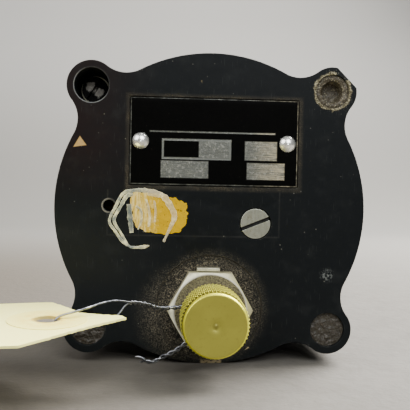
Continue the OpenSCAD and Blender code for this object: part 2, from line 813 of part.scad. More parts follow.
module dust_cap() {
    depth = 0.28;
    n = cap_grooves;
    edge = 1.1;
    color([0.72, 0.68, 0.25]) back_view() at_union() difference() {
        union() {
            translate([0, 0, cap_f + 0.8]) linear_extrude(cap_len - edge - 1.2) polygon([for (i = [0:2 * n - 1])
                (cap_r - (i % 2) * depth) * [cos(180 * i / n), sin(180 * i / n)]]);
            rotate_extrude() polygon([[0, cap_f], [cap_r - 0.8, cap_f], [cap_r - 0.35, cap_f + 0.5],
                [cap_r - 0.35, cap_b - edge - 0.5], [cap_r - 0.1, cap_b - edge - 0.4],
                [cap_r - 0.1, cap_b - edge], [cap_r - 0.9, cap_b], [0, cap_b]]);
        }
        disc(cap_bore_r, cap_f - 1, cap_floor);
        disc(0.7, cap_b - 0.25, cap_b + 1);
    }
}

module cap_disc() {
    color([0.25, 0.12, 0.10]) back_view()
        at_union() disc(cap_bore_r - fit_gap, union_end + touch_gap, cap_floor);
}

// Back face details

module adjusting_plug() {
    color([0.60, 0.60, 0.55]) back_view() translate(plug_pos) difference() {
        union() {
            disc(plug_r, case_depth - plug_head_t + 0.4, case_depth - 0.1);
            disc(plug_shank_r, inner_back - 0.5, case_depth - plug_head_t + 0.4);
        }
        rotate(22) translate([-plug_r - 1, -0.43, case_depth - 0.9]) cube([2 * plug_r + 2, 0.86, 3]);
    }
}

module plug_washer() {
    color([0.45, 0.25, 0.15]) back_view() translate(plug_pos)
        ring(plug_r, plug_shank_r + fit_gap, case_depth - plug_head_t, case_depth - plug_head_t + 0.4);
}

plate_back = case_depth - recess_d + data_plate_t;

module data_plate() {
    color([0.03, 0.03, 0.03]) back_view() difference() {
        translate([plate_x - plate_w / 2, plate_y - plate_h / 2, case_depth - recess_d])
            cube([plate_w, plate_h, data_plate_t]);
        for (s = [-1, 1]) translate([plate_x + s * rivet_spacing / 2, plate_y, 0])
            disc(rivet_shank_r + 0.1, case_depth - 1, case_depth + 2);
    }
}

module plate_rivets() {
    dome_r = (rivet_r * rivet_r + rivet_head_h * rivet_head_h) / (2 * rivet_head_h);
    color([0.80, 0.80, 0.78]) back_view()
        for (s = [-1, 1]) translate([plate_x + s * rivet_spacing / 2, plate_y, 0]) {
            disc(rivet_shank_r, case_depth - rivet_len, plate_back);
            intersection() {
                translate([0, 0, plate_back + rivet_head_h - dome_r]) sphere(r = dome_r);
                disc(rivet_r + 1, plate_back, plate_back + 2);
            }
        }
}

module paper_label() {
    color([0.85, 0.62, 0.14]) back_view()
        translate([0, label_y, case_depth]) linear_extrude(label_t)
            polygon([for (p = label_outline) face_scale * p]);
}

// Seal wire: tubes swept along the routes

function unit(v) = v / norm(v);
function hermite(p0, p1, p2, p3, t) = 0.5 * (2 * p1 + (p2 - p0) * t + (2 * p0 - 5 * p1 + 4 * p2 - p3) * t * t
    + (3 * p1 - p0 - 3 * p2 + p3) * t * t * t);
function smooth_route(p, n) = let (m = len(p) - 1) concat([for (i = [0:m - 1]) for (j = [0:n - 1])
    hermite(p[max(i - 1, 0)], p[i], p[i + 1], p[min(i + 2, m)], j / n)], [p[m]]);
// A frame carried along the route keeps the tube from twisting
function carried(p, i, up) = let (t = unit(p[min(i + 1, len(p) - 1)] - p[max(i - 1, 0)]),
    u = unit(up - (up * t) * t)) i == len(p) - 1 ? [[t, u]] : concat([[t, u]], carried(p, i + 1, u));

module wire_tube(route, r, steps, sides = 8) {
    p = smooth_route(route, steps);
    f = carried(p, 0, [0.1, 0.9, 0.2]);
    n = len(p);
    points = flat1([for (i = [0:n - 1]) let (t = f[i][0], u = f[i][1], w = cross(t, u))
        [for (k = [0:sides - 1]) p[i] + r * (cos(360 * k / sides) * u + sin(360 * k / sides) * w)]]);
    sides_faces = flat1([for (i = [0:n - 2]) [for (k = [0:sides - 1]) let (a = i * sides + k,
        b = i * sides + (k + 1) % sides) each [[a, b + sides, b], [a, a + sides, b + sides]]]]);
    caps = concat([for (k = [1:sides - 2]) [0, k, k + 1]],
        [for (k = [1:sides - 2]) [(n - 1) * sides, (n - 1) * sides + k + 1, (n - 1) * sides + k]]);
    polyhedron(points, concat(sides_faces, caps), convexity = 8);
}

module seal_wire() {
    color([0.42, 0.43, 0.42]) back_view() {
        at_wire() rotate_extrude() translate([loop_r, 0]) circle(r = strand_d / 2, $fn = 16);
        at_wire() wire_tube(pair_route, pair_r, 3);
        at_wire() wire_tube(tail_route, pair_r, 3);
        at_wire() wire_tube(strand_route, strand_d / 2, 3);
    }
}

// Tag on its hole

module on_tag() {
    back_view() at_wire() translate(tag_hole) rotate([0, tag_turn, 0]) rotate([tag_tilt, 0, 0])
        rotate([-90, 0, 0]) mirror([1, 0, 0]) mirror([0, 1, 0]) children();
}

module card_tag() {
    color([0.95, 0.93, 0.78]) on_tag() translate([0, 0, -tag_t / 2]) linear_extrude(tag_t) difference() {
        polygon(tag_outline);
        circle(r = tag_hole_r);
    }
}

module tag_ring() {
    color([0.90, 0.82, 0.50]) on_tag() translate([0, 0, tag_t / 2]) linear_extrude(0.15) difference() {
        circle(r = tag_ring_r);
        circle(r = tag_hole_r);
    }
}

case_body();
case_gasket();
front_flange();
thread_inserts();
case_screws();
screw_washers();
sealing_wax();
glass();
glass_gasket();
spacer_ring();
dial();
dial_screws();
dial_posts();
zero_stop();
pointer();
pointer_hub();
centre_pinion();
hairspring();
hairspring_collet();
hairspring_stud();
sector_gear();
sector_arbor();
front_plate();
rear_plate();
pillars();
movement_screws();
bourdon_tube();
tube_tip();
tip_pin();
link();
tail_pin();
tube_socket();
socket_gasket();
pressure_union();
tab_washer();
dust_cap();
cap_disc();
adjusting_plug();
plug_washer();
data_plate();
plate_rivets();
paper_label();
seal_wire();
card_tag();
tag_ring();
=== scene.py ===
"""Panel pressure gauge seen from the back: finishes, moulded edges, wax, label, twisted seal wire and tag.

Pieces are drawn in the back view, in millimetres: x to the right, y up, s behind the mounting face.
BACK turns that into the frame's metres.
"""
import bpy
import bmesh
import json
from math import atan2, cos, pi, radians, sin
from mathutils import Matrix, Vector, noise

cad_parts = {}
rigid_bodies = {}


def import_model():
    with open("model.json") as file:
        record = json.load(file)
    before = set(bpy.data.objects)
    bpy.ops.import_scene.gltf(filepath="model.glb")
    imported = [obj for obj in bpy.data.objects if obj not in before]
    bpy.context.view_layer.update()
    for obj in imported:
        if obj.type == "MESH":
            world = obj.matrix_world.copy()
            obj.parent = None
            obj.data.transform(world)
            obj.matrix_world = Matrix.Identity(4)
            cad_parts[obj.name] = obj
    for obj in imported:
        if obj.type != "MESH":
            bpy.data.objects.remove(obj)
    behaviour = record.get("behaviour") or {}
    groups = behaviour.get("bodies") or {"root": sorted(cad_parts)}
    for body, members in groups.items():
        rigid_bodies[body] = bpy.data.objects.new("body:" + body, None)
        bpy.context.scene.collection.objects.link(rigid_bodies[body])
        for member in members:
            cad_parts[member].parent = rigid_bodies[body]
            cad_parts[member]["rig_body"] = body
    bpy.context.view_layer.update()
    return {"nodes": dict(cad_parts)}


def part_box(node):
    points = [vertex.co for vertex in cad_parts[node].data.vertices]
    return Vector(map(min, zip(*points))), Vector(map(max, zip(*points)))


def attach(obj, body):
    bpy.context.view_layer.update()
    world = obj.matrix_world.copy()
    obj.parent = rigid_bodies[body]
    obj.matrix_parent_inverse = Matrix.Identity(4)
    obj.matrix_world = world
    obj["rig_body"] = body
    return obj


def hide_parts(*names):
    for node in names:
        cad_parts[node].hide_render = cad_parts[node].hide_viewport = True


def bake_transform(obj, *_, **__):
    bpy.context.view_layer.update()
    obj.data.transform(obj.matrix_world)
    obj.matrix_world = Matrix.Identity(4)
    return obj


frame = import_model()

MM = 0.001
BACK = Matrix(((MM, 0, 0, 0), (0, 0, -MM, 0), (0, MM, 0, 0), (0, 0, 0, 1)))


def span(node):
    """A node's box in back-view millimetres: lowest corner, highest corner."""
    low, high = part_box(node)
    return Vector((low.x, low.z, -high.y)) / MM, Vector((high.x, high.z, -low.y)) / MM


# Sizes read from the frame
case_low, case_high = span("case_body")
plate_low, plate_high = span("data_plate")
cap_low, cap_high = span("dust_cap")
plug_low, plug_high = span("adjusting_plug")
wax_high = span("sealing_wax")[1]
BACK_FACE = case_high.z
CASE_R = -case_low.y
UNION = Vector(((cap_low.x + cap_high.x) / 2, (cap_low.y + cap_high.y) / 2, 0))
CAP_R = (cap_high.x - cap_low.x) / 2
PLUG = (plug_low + plug_high) / 2
PLUG_R = (plug_high.x - plug_low.x) / 2
SCREW_TOP = span("case_screws")[1].z
DIAL_FACE = span("dial")[0].z

# Sizes and places that the frame's boxes don't give
WASHER_T = 0.8
HEXAGON_T = 4.0
HEX_BACK = span("tab_washer")[0].z + WASHER_T + HEXAGON_T
WELL_R = 4.45
WELL_AT = wax_high.x - WELL_R
SPOT_FACE_R = 13.8
PLUG_SLOT = radians(22)
SCREW_SLOT = radians(57)
VENT = (-26.5, 0.45)
VENT_R = 1.75
PAINT_MARK = [(-35.8, 15.4), (-32.5, 15.9), (-34.2, 18.2)]
LABEL_FACE = BACK_FACE + 0.02
TAG_HOLE = Vector((-36.7, -23.6, 76.8))
TAG_HOLE_R = 2.8

# Bare fields of the data plate, each as its left, right, low and high side
FRAMED_FIELD = (-13.1, 4.9, 12.8, 18.1)
FRAME_LINE = 0.5
BRUSHED_FIELDS = [(-3.5, 4.5, 13.3, 17.6), (8.5, 16.9, 12.9, 17.8), (-13.3, -1.0, 8.0, 12.4),
                  (9.1, 19.0, 7.9, 12.2)]
RULE_LINE = (-16.3, 16.4, 19.72, 20.08)

# Camera: the photograph's view, from behind and a little above the union
EYE = Vector((-12.35, -222.86, 5.32)) * MM
AHEAD = Vector((0.0606, 0.99787, -0.02419))
UP = Vector((-0.01882, 0.02538, 0.9995))
LENS = 59.7
SENSOR = 36


def set_camera():
    """Stands the camera where the photograph was taken from."""
    data = bpy.data.cameras.new("camera")
    data.lens = LENS
    data.sensor_width = SENSOR
    data.clip_start = 0.01
    camera = bpy.data.objects.new("camera", data)
    bpy.context.collection.objects.link(camera)
    side = AHEAD.cross(UP).normalized()
    up = side.cross(AHEAD).normalized()
    turn = Matrix((side, up, -AHEAD.normalized())).transposed().to_4x4()
    camera.matrix_world = Matrix.Translation(EYE) @ turn
    bpy.context.scene.camera = camera


set_camera()


# Shader tools

def linear(part):
    """A part of a screen colour, 0 to 255, as linear light."""
    return part / 255 / 12.92 if part < 10 else ((part / 255 + 0.055) / 1.055) ** 2.4


def rgb(red, green, blue):
    """A screen colour, 0 to 255, as the shader's linear colour."""
    return linear(red), linear(green), linear(blue), 1


class Value:
    """A shader socket. Arithmetic on it adds the Math nodes."""

    def __init__(self, finish, socket):
        self.finish = finish
        self.socket = socket

    def maths(self, operation, *terms):
        """A Math node on sockets or numbers."""
        return self.finish.node("Math", {"operation": operation}, dict(enumerate(terms)))

    def __add__(self, other):
        return self.maths("ADD", self, other)

    def __sub__(self, other):
        return self.maths("SUBTRACT", self, other)

    def __rsub__(self, other):
        return self.maths("SUBTRACT", other, self)

    def __mul__(self, other):
        return self.maths("MULTIPLY", self, other)

    def __pow__(self, other):
        return self.maths("POWER", self, other)

    def __abs__(self):
        return self.maths("ABSOLUTE", self)

    def __or__(self, other):
        """The larger of the two."""
        return self.maths("MAXIMUM", self, other)

    def __and__(self, other):
        """The smaller of the two."""
        return self.maths("MINIMUM", self, other)

    __radd__ = __add__
    __rmul__ = __mul__


class Finish:
    """A procedural material: constants on its shader, and nodes for what varies over the surface."""

    def __init__(self, name, constants=()):
        self.material = bpy.data.materials.new(name)
        self.material.use_nodes = True
        self.nodes = self.material.node_tree.nodes
        self.shader = self.nodes["Principled BSDF"]
        for key, value in dict(constants).items():
            self.shader.inputs[key].default_value = value
        parts = self.node("SeparateXYZ", {}, {0: self.node("TexCoord", out="Object")}).socket.node.outputs
        self.x = Value(self, parts[0]) * (1 / MM)
        self.y = Value(self, parts[2]) * (1 / MM)
        self.s = Value(self, parts[1]) * (-1 / MM)
        self.spot = self.node("CombineXYZ", {}, {0: self.x, 1: self.y, 2: self.s})

    def node(self, kind, settings=(), sockets=(), out=0):
        """Adds a node of a kind, with its settings, and the values or links of its sockets."""
        made = self.nodes.new("ShaderNode" + kind)
        for key, value in dict(settings).items():
            setattr(made, key, value)
        for key, value in dict(sockets).items():
            self.feed(made.inputs[key], value)
        return Value(self, made.outputs[out])

    def feed(self, socket, value):
        """Links a value to a socket, or sets a number or colour on it."""
        if isinstance(value, Value):
            self.material.node_tree.links.new(value.socket, socket)
        else:
            socket.default_value = value

    def grain(self, scale, detail=3, rough=0.55, spot=None, shift=(0, 0, 0), stretch=(1, 1, 1)):
        """Noise with so many lumps per millimetre, 0 to 1."""
        place = self.node("Mapping", {}, {0: spot or self.spot, 1: shift, 3: stretch})
        lumps = {"Vector": place, "Scale": scale, "Detail": detail, "Roughness": rough}
        return self.node("TexNoise", {}, lumps)

    def cells(self, scale):
        """Distance from scattered points, so many per millimetre."""
        return self.node("TexVoronoi", {}, {"Vector": self.spot, "Scale": scale}, "Distance")

    def step(self, value, low, high):
        """0 below low, 1 above high, smooth between."""
        return self.node("MapRange", {"interpolation_type": "SMOOTHSTEP"}, {0: value, 1: low, 2: high})

    def fade(self, value, low, high):
        """1 below low, 0 above high, smooth between."""
        return 1 - self.step(value, low, high)

    def mix(self, mask, under, over):
        """Lays one colour over another where the mask is 1."""
        return self.node("Mix", {"data_type": "RGBA"}, {0: mask, 6: under, 7: over}, 2)

    def blend(self, mask, under, over):
        """The same for plain numbers."""
        return self.node("Mix", {"data_type": "FLOAT"}, {0: mask, 2: under, 3: over})

    def edge(self, radius, low=0.02, high=0.25):
        """1 where the surface turns within that many millimetres, by the bevel's normal."""
        soft = self.node("Bevel", {"samples": 6}, {"Radius": radius * MM})
        flat = self.node("NewGeometry", out="Normal")
        same = self.node("VectorMath", {"operation": "DOT_PRODUCT"}, {0: soft, 1: flat}, "Value")
        return self.step(1 - same, low, high)

    def box(self, left, right, low, high, soft=0.15):
        """1 inside a rectangle of the back view."""
        across = abs(self.x - (left + right) / 2) - (right - left) / 2
        along = abs(self.y - (low + high) / 2) - (high - low) / 2
        return self.fade(across | along, -soft, soft)

    def away(self, x, y):
        """Distance from a point of the back view."""
        return ((self.x - x) ** 2 + (self.y - y) ** 2) ** 0.5

    def wedge(self, corners, soft=0.12):
        """1 inside a convex outline of the back view, corners anticlockwise."""
        inner = None
        for (x0, y0), (x1, y1) in zip(corners, corners[1:] + corners[:1]):
            length = ((x1 - x0) ** 2 + (y1 - y0) ** 2) ** 0.5
            side = (self.y - y0) * ((x1 - x0) / length) - (self.x - x0) * ((y1 - y0) / length)
            inner = side if inner is None else inner & side
        return self.step(inner, -soft, soft)

    def bump(self, height, depth, strength):
        """A bump as deep as the height times that many millimetres."""
        return self.node("Bump", {}, {"Height": height, "Distance": depth * MM, "Strength": strength})

    def wear(self, colour=None, roughness=None, metallic=None, normal=None, alpha=None):
        """Feeds the shader with what varies."""
        for key, value in (("Base Color", colour), ("Roughness", roughness), ("Metallic", metallic),
                           ("Normal", normal), ("Alpha", alpha)):
            if value is not None:
                self.feed(self.shader.inputs[key], value)
        return self


# Mesh tools

def dressed(name, bm, finish):
    """Turns a bmesh into a new object with a finish."""
    mesh = bpy.data.meshes.new(name)
    bm.to_mesh(mesh)
    bm.free()
    mesh.materials.append(finish.material)
    mesh.shade_smooth()
    made = bpy.data.objects.new(name, mesh)
    bpy.context.collection.objects.link(made)
    return made


def solid(name, bm, body, finish, *nodes, smooth=35, place=BACK):
    """Turns a bmesh in back-view millimetres into a piece that rides on a body and stands for CAD nodes."""
    bmesh.ops.transform(bm, matrix=place, verts=bm.verts)
    piece = dressed(name, bm, finish)
    piece.data.set_sharp_from_angle(angle=radians(smooth))
    if body:
        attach(piece, body)
    if nodes:
        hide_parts(*nodes)
    return piece


def draw_line(bm, spots, closed=False):
    """Joins points by edges, and returns both."""
    verts = [bm.verts.new(spot) for spot in spots]
    ends = verts[1:] + verts[:1] if closed else verts[1:]
    return verts, [bm.edges.new(pair) for pair in zip(verts, ends)]


def new_verts(made):
    """The points among what an operator made."""
    return [g for g in made["geom"] if isinstance(g, bmesh.types.BMVert)]


def thicken(bm, level):
    """Gives a sheet its thickness, down to a level of s."""
    made = bmesh.ops.extrude_face_region(bm, geom=bm.faces[:])
    for v in new_verts(made):
        v.co.z = level
    bmesh.ops.recalc_face_normals(bm, faces=bm.faces)


def spin_profile(bm, profile, centre, steps):
    """Spins a profile of (radius, s) points round an axis of the back view."""
    verts, edges = draw_line(bm, [(centre[0] + r, centre[1], s) for r, s in profile])
    bmesh.ops.spin(bm, geom=verts + edges, cent=(centre[0], centre[1], 0), axis=(0, 0, 1), angle=2 * pi,
                   steps=steps, use_merge=True)
    bmesh.ops.remove_doubles(bm, verts=bm.verts, dist=0.002)
    bmesh.ops.recalc_face_normals(bm, faces=bm.faces)


def mesh_of(drawing):
    """The mesh of a curve or a text."""
    drawn = bpy.data.objects.new(drawing.name, drawing)
    bpy.context.collection.objects.link(drawn)
    mesh = bpy.data.meshes.new_from_object(drawn.evaluated_get(bpy.context.evaluated_depsgraph_get()))
    bpy.data.objects.remove(drawn)
    return mesh


def recut(node, finish, radius, segments=3):
    """A copy of a CAD node with its edges rounded."""
    sharpest = 32
    bm = bmesh.new()
    bm.from_mesh(frame["nodes"][node].data)
    bmesh.ops.remove_doubles(bm, verts=bm.verts, dist=2e-6)
    bmesh.ops.dissolve_limit(bm, angle_limit=radians(0.6), verts=bm.verts, edges=bm.edges)
    piece = solid(node + "_finished", bm, frame["nodes"][node]["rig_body"], finish, node,
                  smooth=sharpest, place=Matrix.Identity(4))
    bevel = piece.modifiers.new("rounded edges", "BEVEL")
    bevel.limit_method = "ANGLE"
    bevel.angle_limit = radians(sharpest)
    bevel.width = radius * MM
    bevel.segments = segments
    bevel.use_clamp_overlap = False
    bevel.harden_normals = True
    return piece


# Case finish, from its parts

def moulding_colour(f, rear):
    """Black, brownish towards the upper left, and lighter towards the lower left as painted fill light."""
    base = f.mix(f.grain(0.09, 3, 0.5), rgb(4, 8, 10), rgb(9, 13, 15))
    brown = f.step(f.x * -1, 12, 32) * f.step(f.y, -2, 14) * rear * (f.grain(0.12, 3) * 1.4)
    base = f.mix(brown * 0.8, base, rgb(24, 12, 10))
    # Painted fill light: the case is lightened towards its lower left, as if lit from that side.
    painted_fill_lower_left = f.step(f.x * -1 - f.y, 10, 45) * f.fade(f.y, -8, 6) * rear
    return f.mix(painted_fill_lower_left * 0.6, base, rgb(22, 25, 25))


def round_union(f):
    """Dust round the union, and the low wall of its spot face, where painted light pales the wall's shade."""
    off = f.away(UNION.x, UNION.y)
    near = f.fade(off, 9.5, 16.6) | f.fade(f.away(UNION.x - 5, UNION.y - 2), 7, 16) * 0.8
    speck = f.step(f.grain(4.2, 3, 0.8), 0.44, 0.6)
    patchy = f.step(f.grain(0.35, 3, 0.6, shift=(4, 1, 0)), 0.25, 0.55)
    dust = speck * near * f.blend(patchy, 0.3, 1.0) * f.step(f.s, BACK_FACE - 1.2, BACK_FACE - 0.7)
    # The low wall of the spot face, which gets painted light to fade its shade.
    wall = f.step(off, SPOT_FACE_R - 0.4, SPOT_FACE_R - 0.1)
    wall = wall * f.fade(off, SPOT_FACE_R + 0.1, SPOT_FACE_R + 0.3)
    return dust, wall * f.step(f.s, BACK_FACE - 0.6, BACK_FACE - 0.4)


def round_plate(f, rear):
    """The margin round the data plate, and the grime on it."""
    margin = f.box(plate_low.x - 1.1, plate_high.x + 1.2, plate_low.y - 1.3, plate_high.y + 0.9, 0.6) * rear
    patchy = f.step(f.grain(0.2, 3, shift=(0, 8, 0)), 0.4, 0.6)
    return margin, margin * f.step(f.grain(2.8, 4, 0.8), 0.4, 0.62) * f.blend(patchy, 0.35, 1.0)


def old_outline(f):
    """Sides and lower edge of a field that something seems to have covered once."""
    left, right, low, high, line = -27, 18.1, -7.3, 4.6, 0.3
    return f.box(left, right, low, high, 0.2) - f.box(left + line, right - line, low + line, high, 0.2)


def worn_edges(f):
    """Rubbed edges, and the scraped lobe at the upper right."""
    edges = f.edge(0.45, 0.02, 0.2) * f.step(f.grain(0.8, 4, 0.75), 0.5, 0.64)
    lobe = f.fade(f.away(WELL_AT + 1.5, WELL_AT + 1), 4.5, 8.5) * f.step(f.s, BACK_FACE - 7, BACK_FACE - 1)
    return edges * 0.55 | lobe * f.step(f.grain(1.6, 4, 0.8, shift=(2, 9, 4)), 0.58, 0.66) * 0.6


def broken_well(f, fine):
    """The crumbled mouth of the upper right well, whole at one place."""
    from_well = f.away(WELL_AT, WELL_AT) + (f.grain(0.8, 4, 0.75, shift=(7, 0, 2)) - 0.5) * 2.2
    whole = f.fade(f.away(WELL_AT + 2.6, WELL_AT + 4.4) + (fine - 0.5) * 2, 1.4, 2.2)
    return f.fade(from_well, 4.9, 5.2) * f.step(f.s, BACK_FACE - 1.5, BACK_FACE - 0.6) * (1 - whole)


def open_well_rim_highlight(f, rear):
    """A painted highlight: the thin bright rim of the open well, strongest at its lower left."""
    off_rim = abs(f.away(-WELL_AT, WELL_AT) - WELL_R - 0.12)
    lower_left = f.fade((f.x + WELL_AT) + (f.y - WELL_AT), -2.5, 3.5)
    return f.fade(off_rim, 0.05, 0.2) * rear * f.blend(lower_left, 0.12, 0.7)


def chips(f, rear):
    """Chips at the bottom of the rim and at the top of the face, and a small pale wedge beside the rim."""
    rim = f.step((f.x ** 2 + f.y ** 2) ** 0.5, CASE_R - 1.6, CASE_R - 0.4)
    rim = rim * f.fade(abs(f.x - 0.7), 2.4, 3.0) * f.fade(f.y, -CASE_R + 1.2, -CASE_R + 1.9) * rear
    # A small pale wedge beside the rim.
    beside = f.wedge([(9.6, -36.9), (10.8, -36.3), (10.5, -36.0)], soft=0.08)
    warp = (f.grain(1.3, 4, 0.8, shift=(6, 3, 0)) - 0.5) * 2.4
    chip = rim | beside | f.fade(f.away(-3.2, 33.2) + warp, 0.1, 0.4) * 0.3
    return chip * f.step(f.grain(1.5, 3), 0.36, 0.46)


def small_marks(f, rear, fine, base):
    """The paint mark, the vent's rim, a scuff, specks and scratches."""
    paint = f.mix(fine, rgb(150, 118, 68), rgb(192, 160, 106))
    base = f.mix(f.wedge(PAINT_MARK) * rear, base, paint)
    vent = f.fade(abs(f.away(*VENT) - VENT_R), 0.12, 0.3)
    from_left = f.step(f.x, VENT[0] - 1, VENT[0] + 1)
    base = f.mix(vent * rear * f.blend(from_left, 0.6, 0.15), base, rgb(128, 124, 114))
    scuff = f.fade(f.away(31, -16.9), 0.6, 2.4) * f.step(f.grain(1.8, 4, 0.8, shift=(5, 5, 5)), 0.5, 0.58)
    base = f.mix(scuff * rear * 0.6, base, rgb(120, 124, 120))
    dots = f.fade(f.cells(0.5), 0.04, 0.1) * f.step(f.grain(0.3, 2, shift=(2, 2, 9)), 0.5, 0.6)
    base = f.mix(dots * rear * 0.7, base, rgb(120, 118, 108))
    scratch = f.step(f.grain(0.5, 2, 0.4, stretch=(9, 0.5, 1)), 0.68, 0.72) * rear * 0.2
    return f.mix(scratch, base, rgb(74, 76, 74))


def case_finish():
    """Worn black moulding: brownish at the left, dusty round the plate and the union, pale where chipped."""
    f = Finish("worn black moulding", {"Specular IOR Level": 0.14})
    rear = f.step(f.s, BACK_FACE - 0.8, BACK_FACE - 0.1)
    fine = f.grain(1.1, 5, 0.6)
    film = f.step(f.grain(0.22, 4, 0.6), 0.5, 0.8) * 0.16 + f.step(fine, 0.6, 0.76) * 0.1
    dust, spot_face_wall_painted_light = round_union(f)
    margin, grime = round_plate(f, rear)
    broken = broken_well(f, fine)
    base = f.mix(film, moulding_colour(f, rear), rgb(50, 52, 50))
    grit = f.step(f.grain(2.6, 3, 0.7, shift=(1, 5, 0)), 0.4, 0.62)
    base = f.mix(dust * 0.9, base, f.mix(grit, rgb(70, 62, 48), rgb(160, 150, 126)))
    # Painted light: the spot face's low wall is lightened so that its shade fades.
    base = f.mix(spot_face_wall_painted_light * 0.5, base, rgb(58, 54, 46))
    base = f.mix(margin * 0.11 | grime * 0.52, base, rgb(94, 86, 70))
    base = f.mix(old_outline(f) * rear * f.grain(0.3) * 0.3, base, rgb(78, 76, 72))
    base = f.mix(worn_edges(f), base, rgb(138, 138, 128))
    crumbs = f.step(f.grain(2.2, 4, 0.8), 0.42, 0.64)
    base = f.mix(broken, base, f.mix(crumbs, rgb(66, 59, 43), rgb(178, 171, 142)))
    # Painted highlight on the open well's rim.
    base = f.mix(open_well_rim_highlight(f, rear), base, rgb(120, 122, 122))
    base = f.mix(chips(f, rear) * 0.85, base, rgb(164, 148, 112))
    base = small_marks(f, rear, fine, base)
    rough = f.blend(film | dust | grime | broken, 0.4, 0.85) + f.grain(2.4, 3) * 0.12
    height = f.grain(0.16, 2) * 1.4 + fine * 0.12 + dust * 0.5 + broken * f.grain(1.4, 4, 0.8) * 3
    return f.wear(base, rough, normal=f.bump(height, 0.12, 0.6))


# Other finishes

def metal_finish(name, bright, dull, rough, spots, metal=1.0):
    """Plated metal with dull spots and bright edges."""
    f = Finish(name)
    blotch = f.step(f.grain(0.45, 4, 0.7), 0.42, 0.7)
    spot = f.step(f.grain(2.2, 4, 0.75), 0.58, 0.7) * spots
    base = f.mix(blotch, bright, dull)
    base = f.mix(spot, base, rgb(58, 50, 40))
    base = f.mix(f.edge(0.3), base, bright)
    return f.wear(base, f.blend(blotch, rough, rough + 0.18) + spot * 0.3, f.blend(spot, metal, 0.3),
                  f.bump(f.grain(3.0, 3) + spot * -1.5, 0.02, 0.6))


def union_finish():
    """The hexagon's face is dirty inside its chamfer, whose corners are worn bright; on the left they carry a
    painted highlight, brighter and creamier.
    """
    f = Finish("dirty plated union")
    off = f.away(UNION.x, UNION.y)
    corner = f.step(off, 9.3, 9.5)
    face = (1 - corner) * f.step(f.s, HEX_BACK - 0.2, HEX_BACK - 0.05) * f.step(off, 5.4, 6.2)
    speck = f.step(f.grain(3.0, 4, 0.8), 0.44, 0.6)
    blotch = f.step(f.grain(0.5, 4, 0.7), 0.4, 0.7)
    # Painted highlight: the worn corners turn brighter and creamier towards the left.
    left = f.fade(f.x - UNION.x, -2, 8)
    bright = f.mix(f.grain(1.2, 3), rgb(176, 170, 118), rgb(206, 200, 150))
    bright = f.mix(left, bright, f.mix(f.grain(1.2, 3), rgb(228, 226, 190), rgb(255, 253, 222)))
    dull = f.mix(f.grain(0.8, 3), rgb(136, 130, 98), rgb(184, 178, 146))
    worn = corner * f.step(f.s, HEX_BACK - 0.9, HEX_BACK - 0.3) | f.edge(0.2) * 0.7
    dirt = f.mix(f.step(speck, 0.2, 0.8), rgb(100, 92, 56), f.mix(blotch, rgb(34, 29, 17), rgb(62, 55, 34)))
    base = f.mix(face * (0.78 + speck * 0.2), f.mix(worn, dull, bright), dirt)
    base = f.mix(blotch * (1 - face) * 0.25, base, rgb(120, 108, 84))
    line = f.step(off, 9.1, 9.25) * f.fade(off, 9.5, 9.65) * f.step(f.s, HEX_BACK - 0.5, HEX_BACK - 0.2)
    base = f.mix(line * 0.7, base, rgb(214, 210, 192))
    metallic = f.blend(face, f.blend(corner, 0.85, 0.05), 0.3)
    return f.wear(base, f.blend(face, 0.3, 0.62) + speck * 0.08, metallic,
                  f.bump(f.grain(3.0, 3) + speck * face, 0.03, 0.6))


def plug_finish():
    """Aged plating with fine scratches across the head, and its slot painted near black as painted shade."""
    f = Finish("aged plug metal")
    over = (f.y - PLUG.y) * cos(PLUG_SLOT) - (f.x - PLUG.x) * sin(PLUG_SLOT)
    slot = f.fade(abs(over), 0.4, 0.52) * f.fade(f.s, plug_high.z - 0.25, plug_high.z - 0.1)
    lines = f.grain(1.4, 4, 0.7, stretch=(1, 0.15, 1))
    blotch = f.step(f.grain(0.8, 4, 0.75), 0.46, 0.7)
    base = f.mix(lines, rgb(128, 128, 112), rgb(176, 178, 164))
    base = f.mix(blotch * 0.6, base, rgb(104, 98, 74))
    rim = f.fade(f.away(PLUG.x, PLUG.y), PLUG_R - 0.35, PLUG_R - 0.1) * -0.35 + 0.35
    base = f.mix(rim, base, rgb(196, 198, 186))
    # Painted shade: the slot is painted near black.
    base = f.mix(slot, base, rgb(14, 12, 10))
    return f.wear(base, 0.34 + blotch * 0.2 + slot * 0.3, f.blend(slot, 0.75, 0.1), f.bump(lines, 0.02, 0.7))


def screw_finish():
    """Blackened screws, pale on both sides of the slot of the one left bare."""
    f = Finish("blackened screws", {"Metallic": 1.0})
    along = (f.x + WELL_AT) * cos(SCREW_SLOT) + (f.y - WELL_AT) * sin(SCREW_SLOT)
    over = (f.y - WELL_AT) * cos(SCREW_SLOT) - (f.x + WELL_AT) * sin(SCREW_SLOT)
    reach = (along ** 2 + (abs(over) - 1.3) ** 2) ** 0.5 + (f.grain(0.9, 4, 0.7) - 0.5) * 2.6
    # Pale patches on both sides of the bare screw's slot, and pale edges.
    rubbed = f.fade(reach, 1.0, 1.5) | f.edge(0.1) * 0.3
    base = f.mix(f.grain(0.7, 4), rgb(10, 10, 11), rgb(32, 31, 30))
    base = f.mix(rubbed, base, f.mix(f.grain(1.4, 3), rgb(76, 74, 70), rgb(164, 160, 152)))
    return f.wear(base, f.blend(rubbed, 0.5, 0.36), None, f.bump(f.grain(2.0, 4), 0.05, 0.7))


def brass_finish(name, bright=rgb(206, 172, 104), dull=rgb(150, 118, 62)):
    """Brass or bronze with fine turning lines and patches of tarnish."""
    f = Finish(name, {"Metallic": 1.0})
    lines = f.grain(1.6, 3, 0.6, stretch=(1, 12, 1))
    tarnish = f.step(f.grain(0.35, 4, 0.6), 0.45, 0.75)
    return f.wear(f.mix(tarnish * 0.7, bright, dull), f.blend(tarnish, 0.24, 0.42) + lines * 0.08, None,
                  f.bump(lines, 0.01, 0.5))


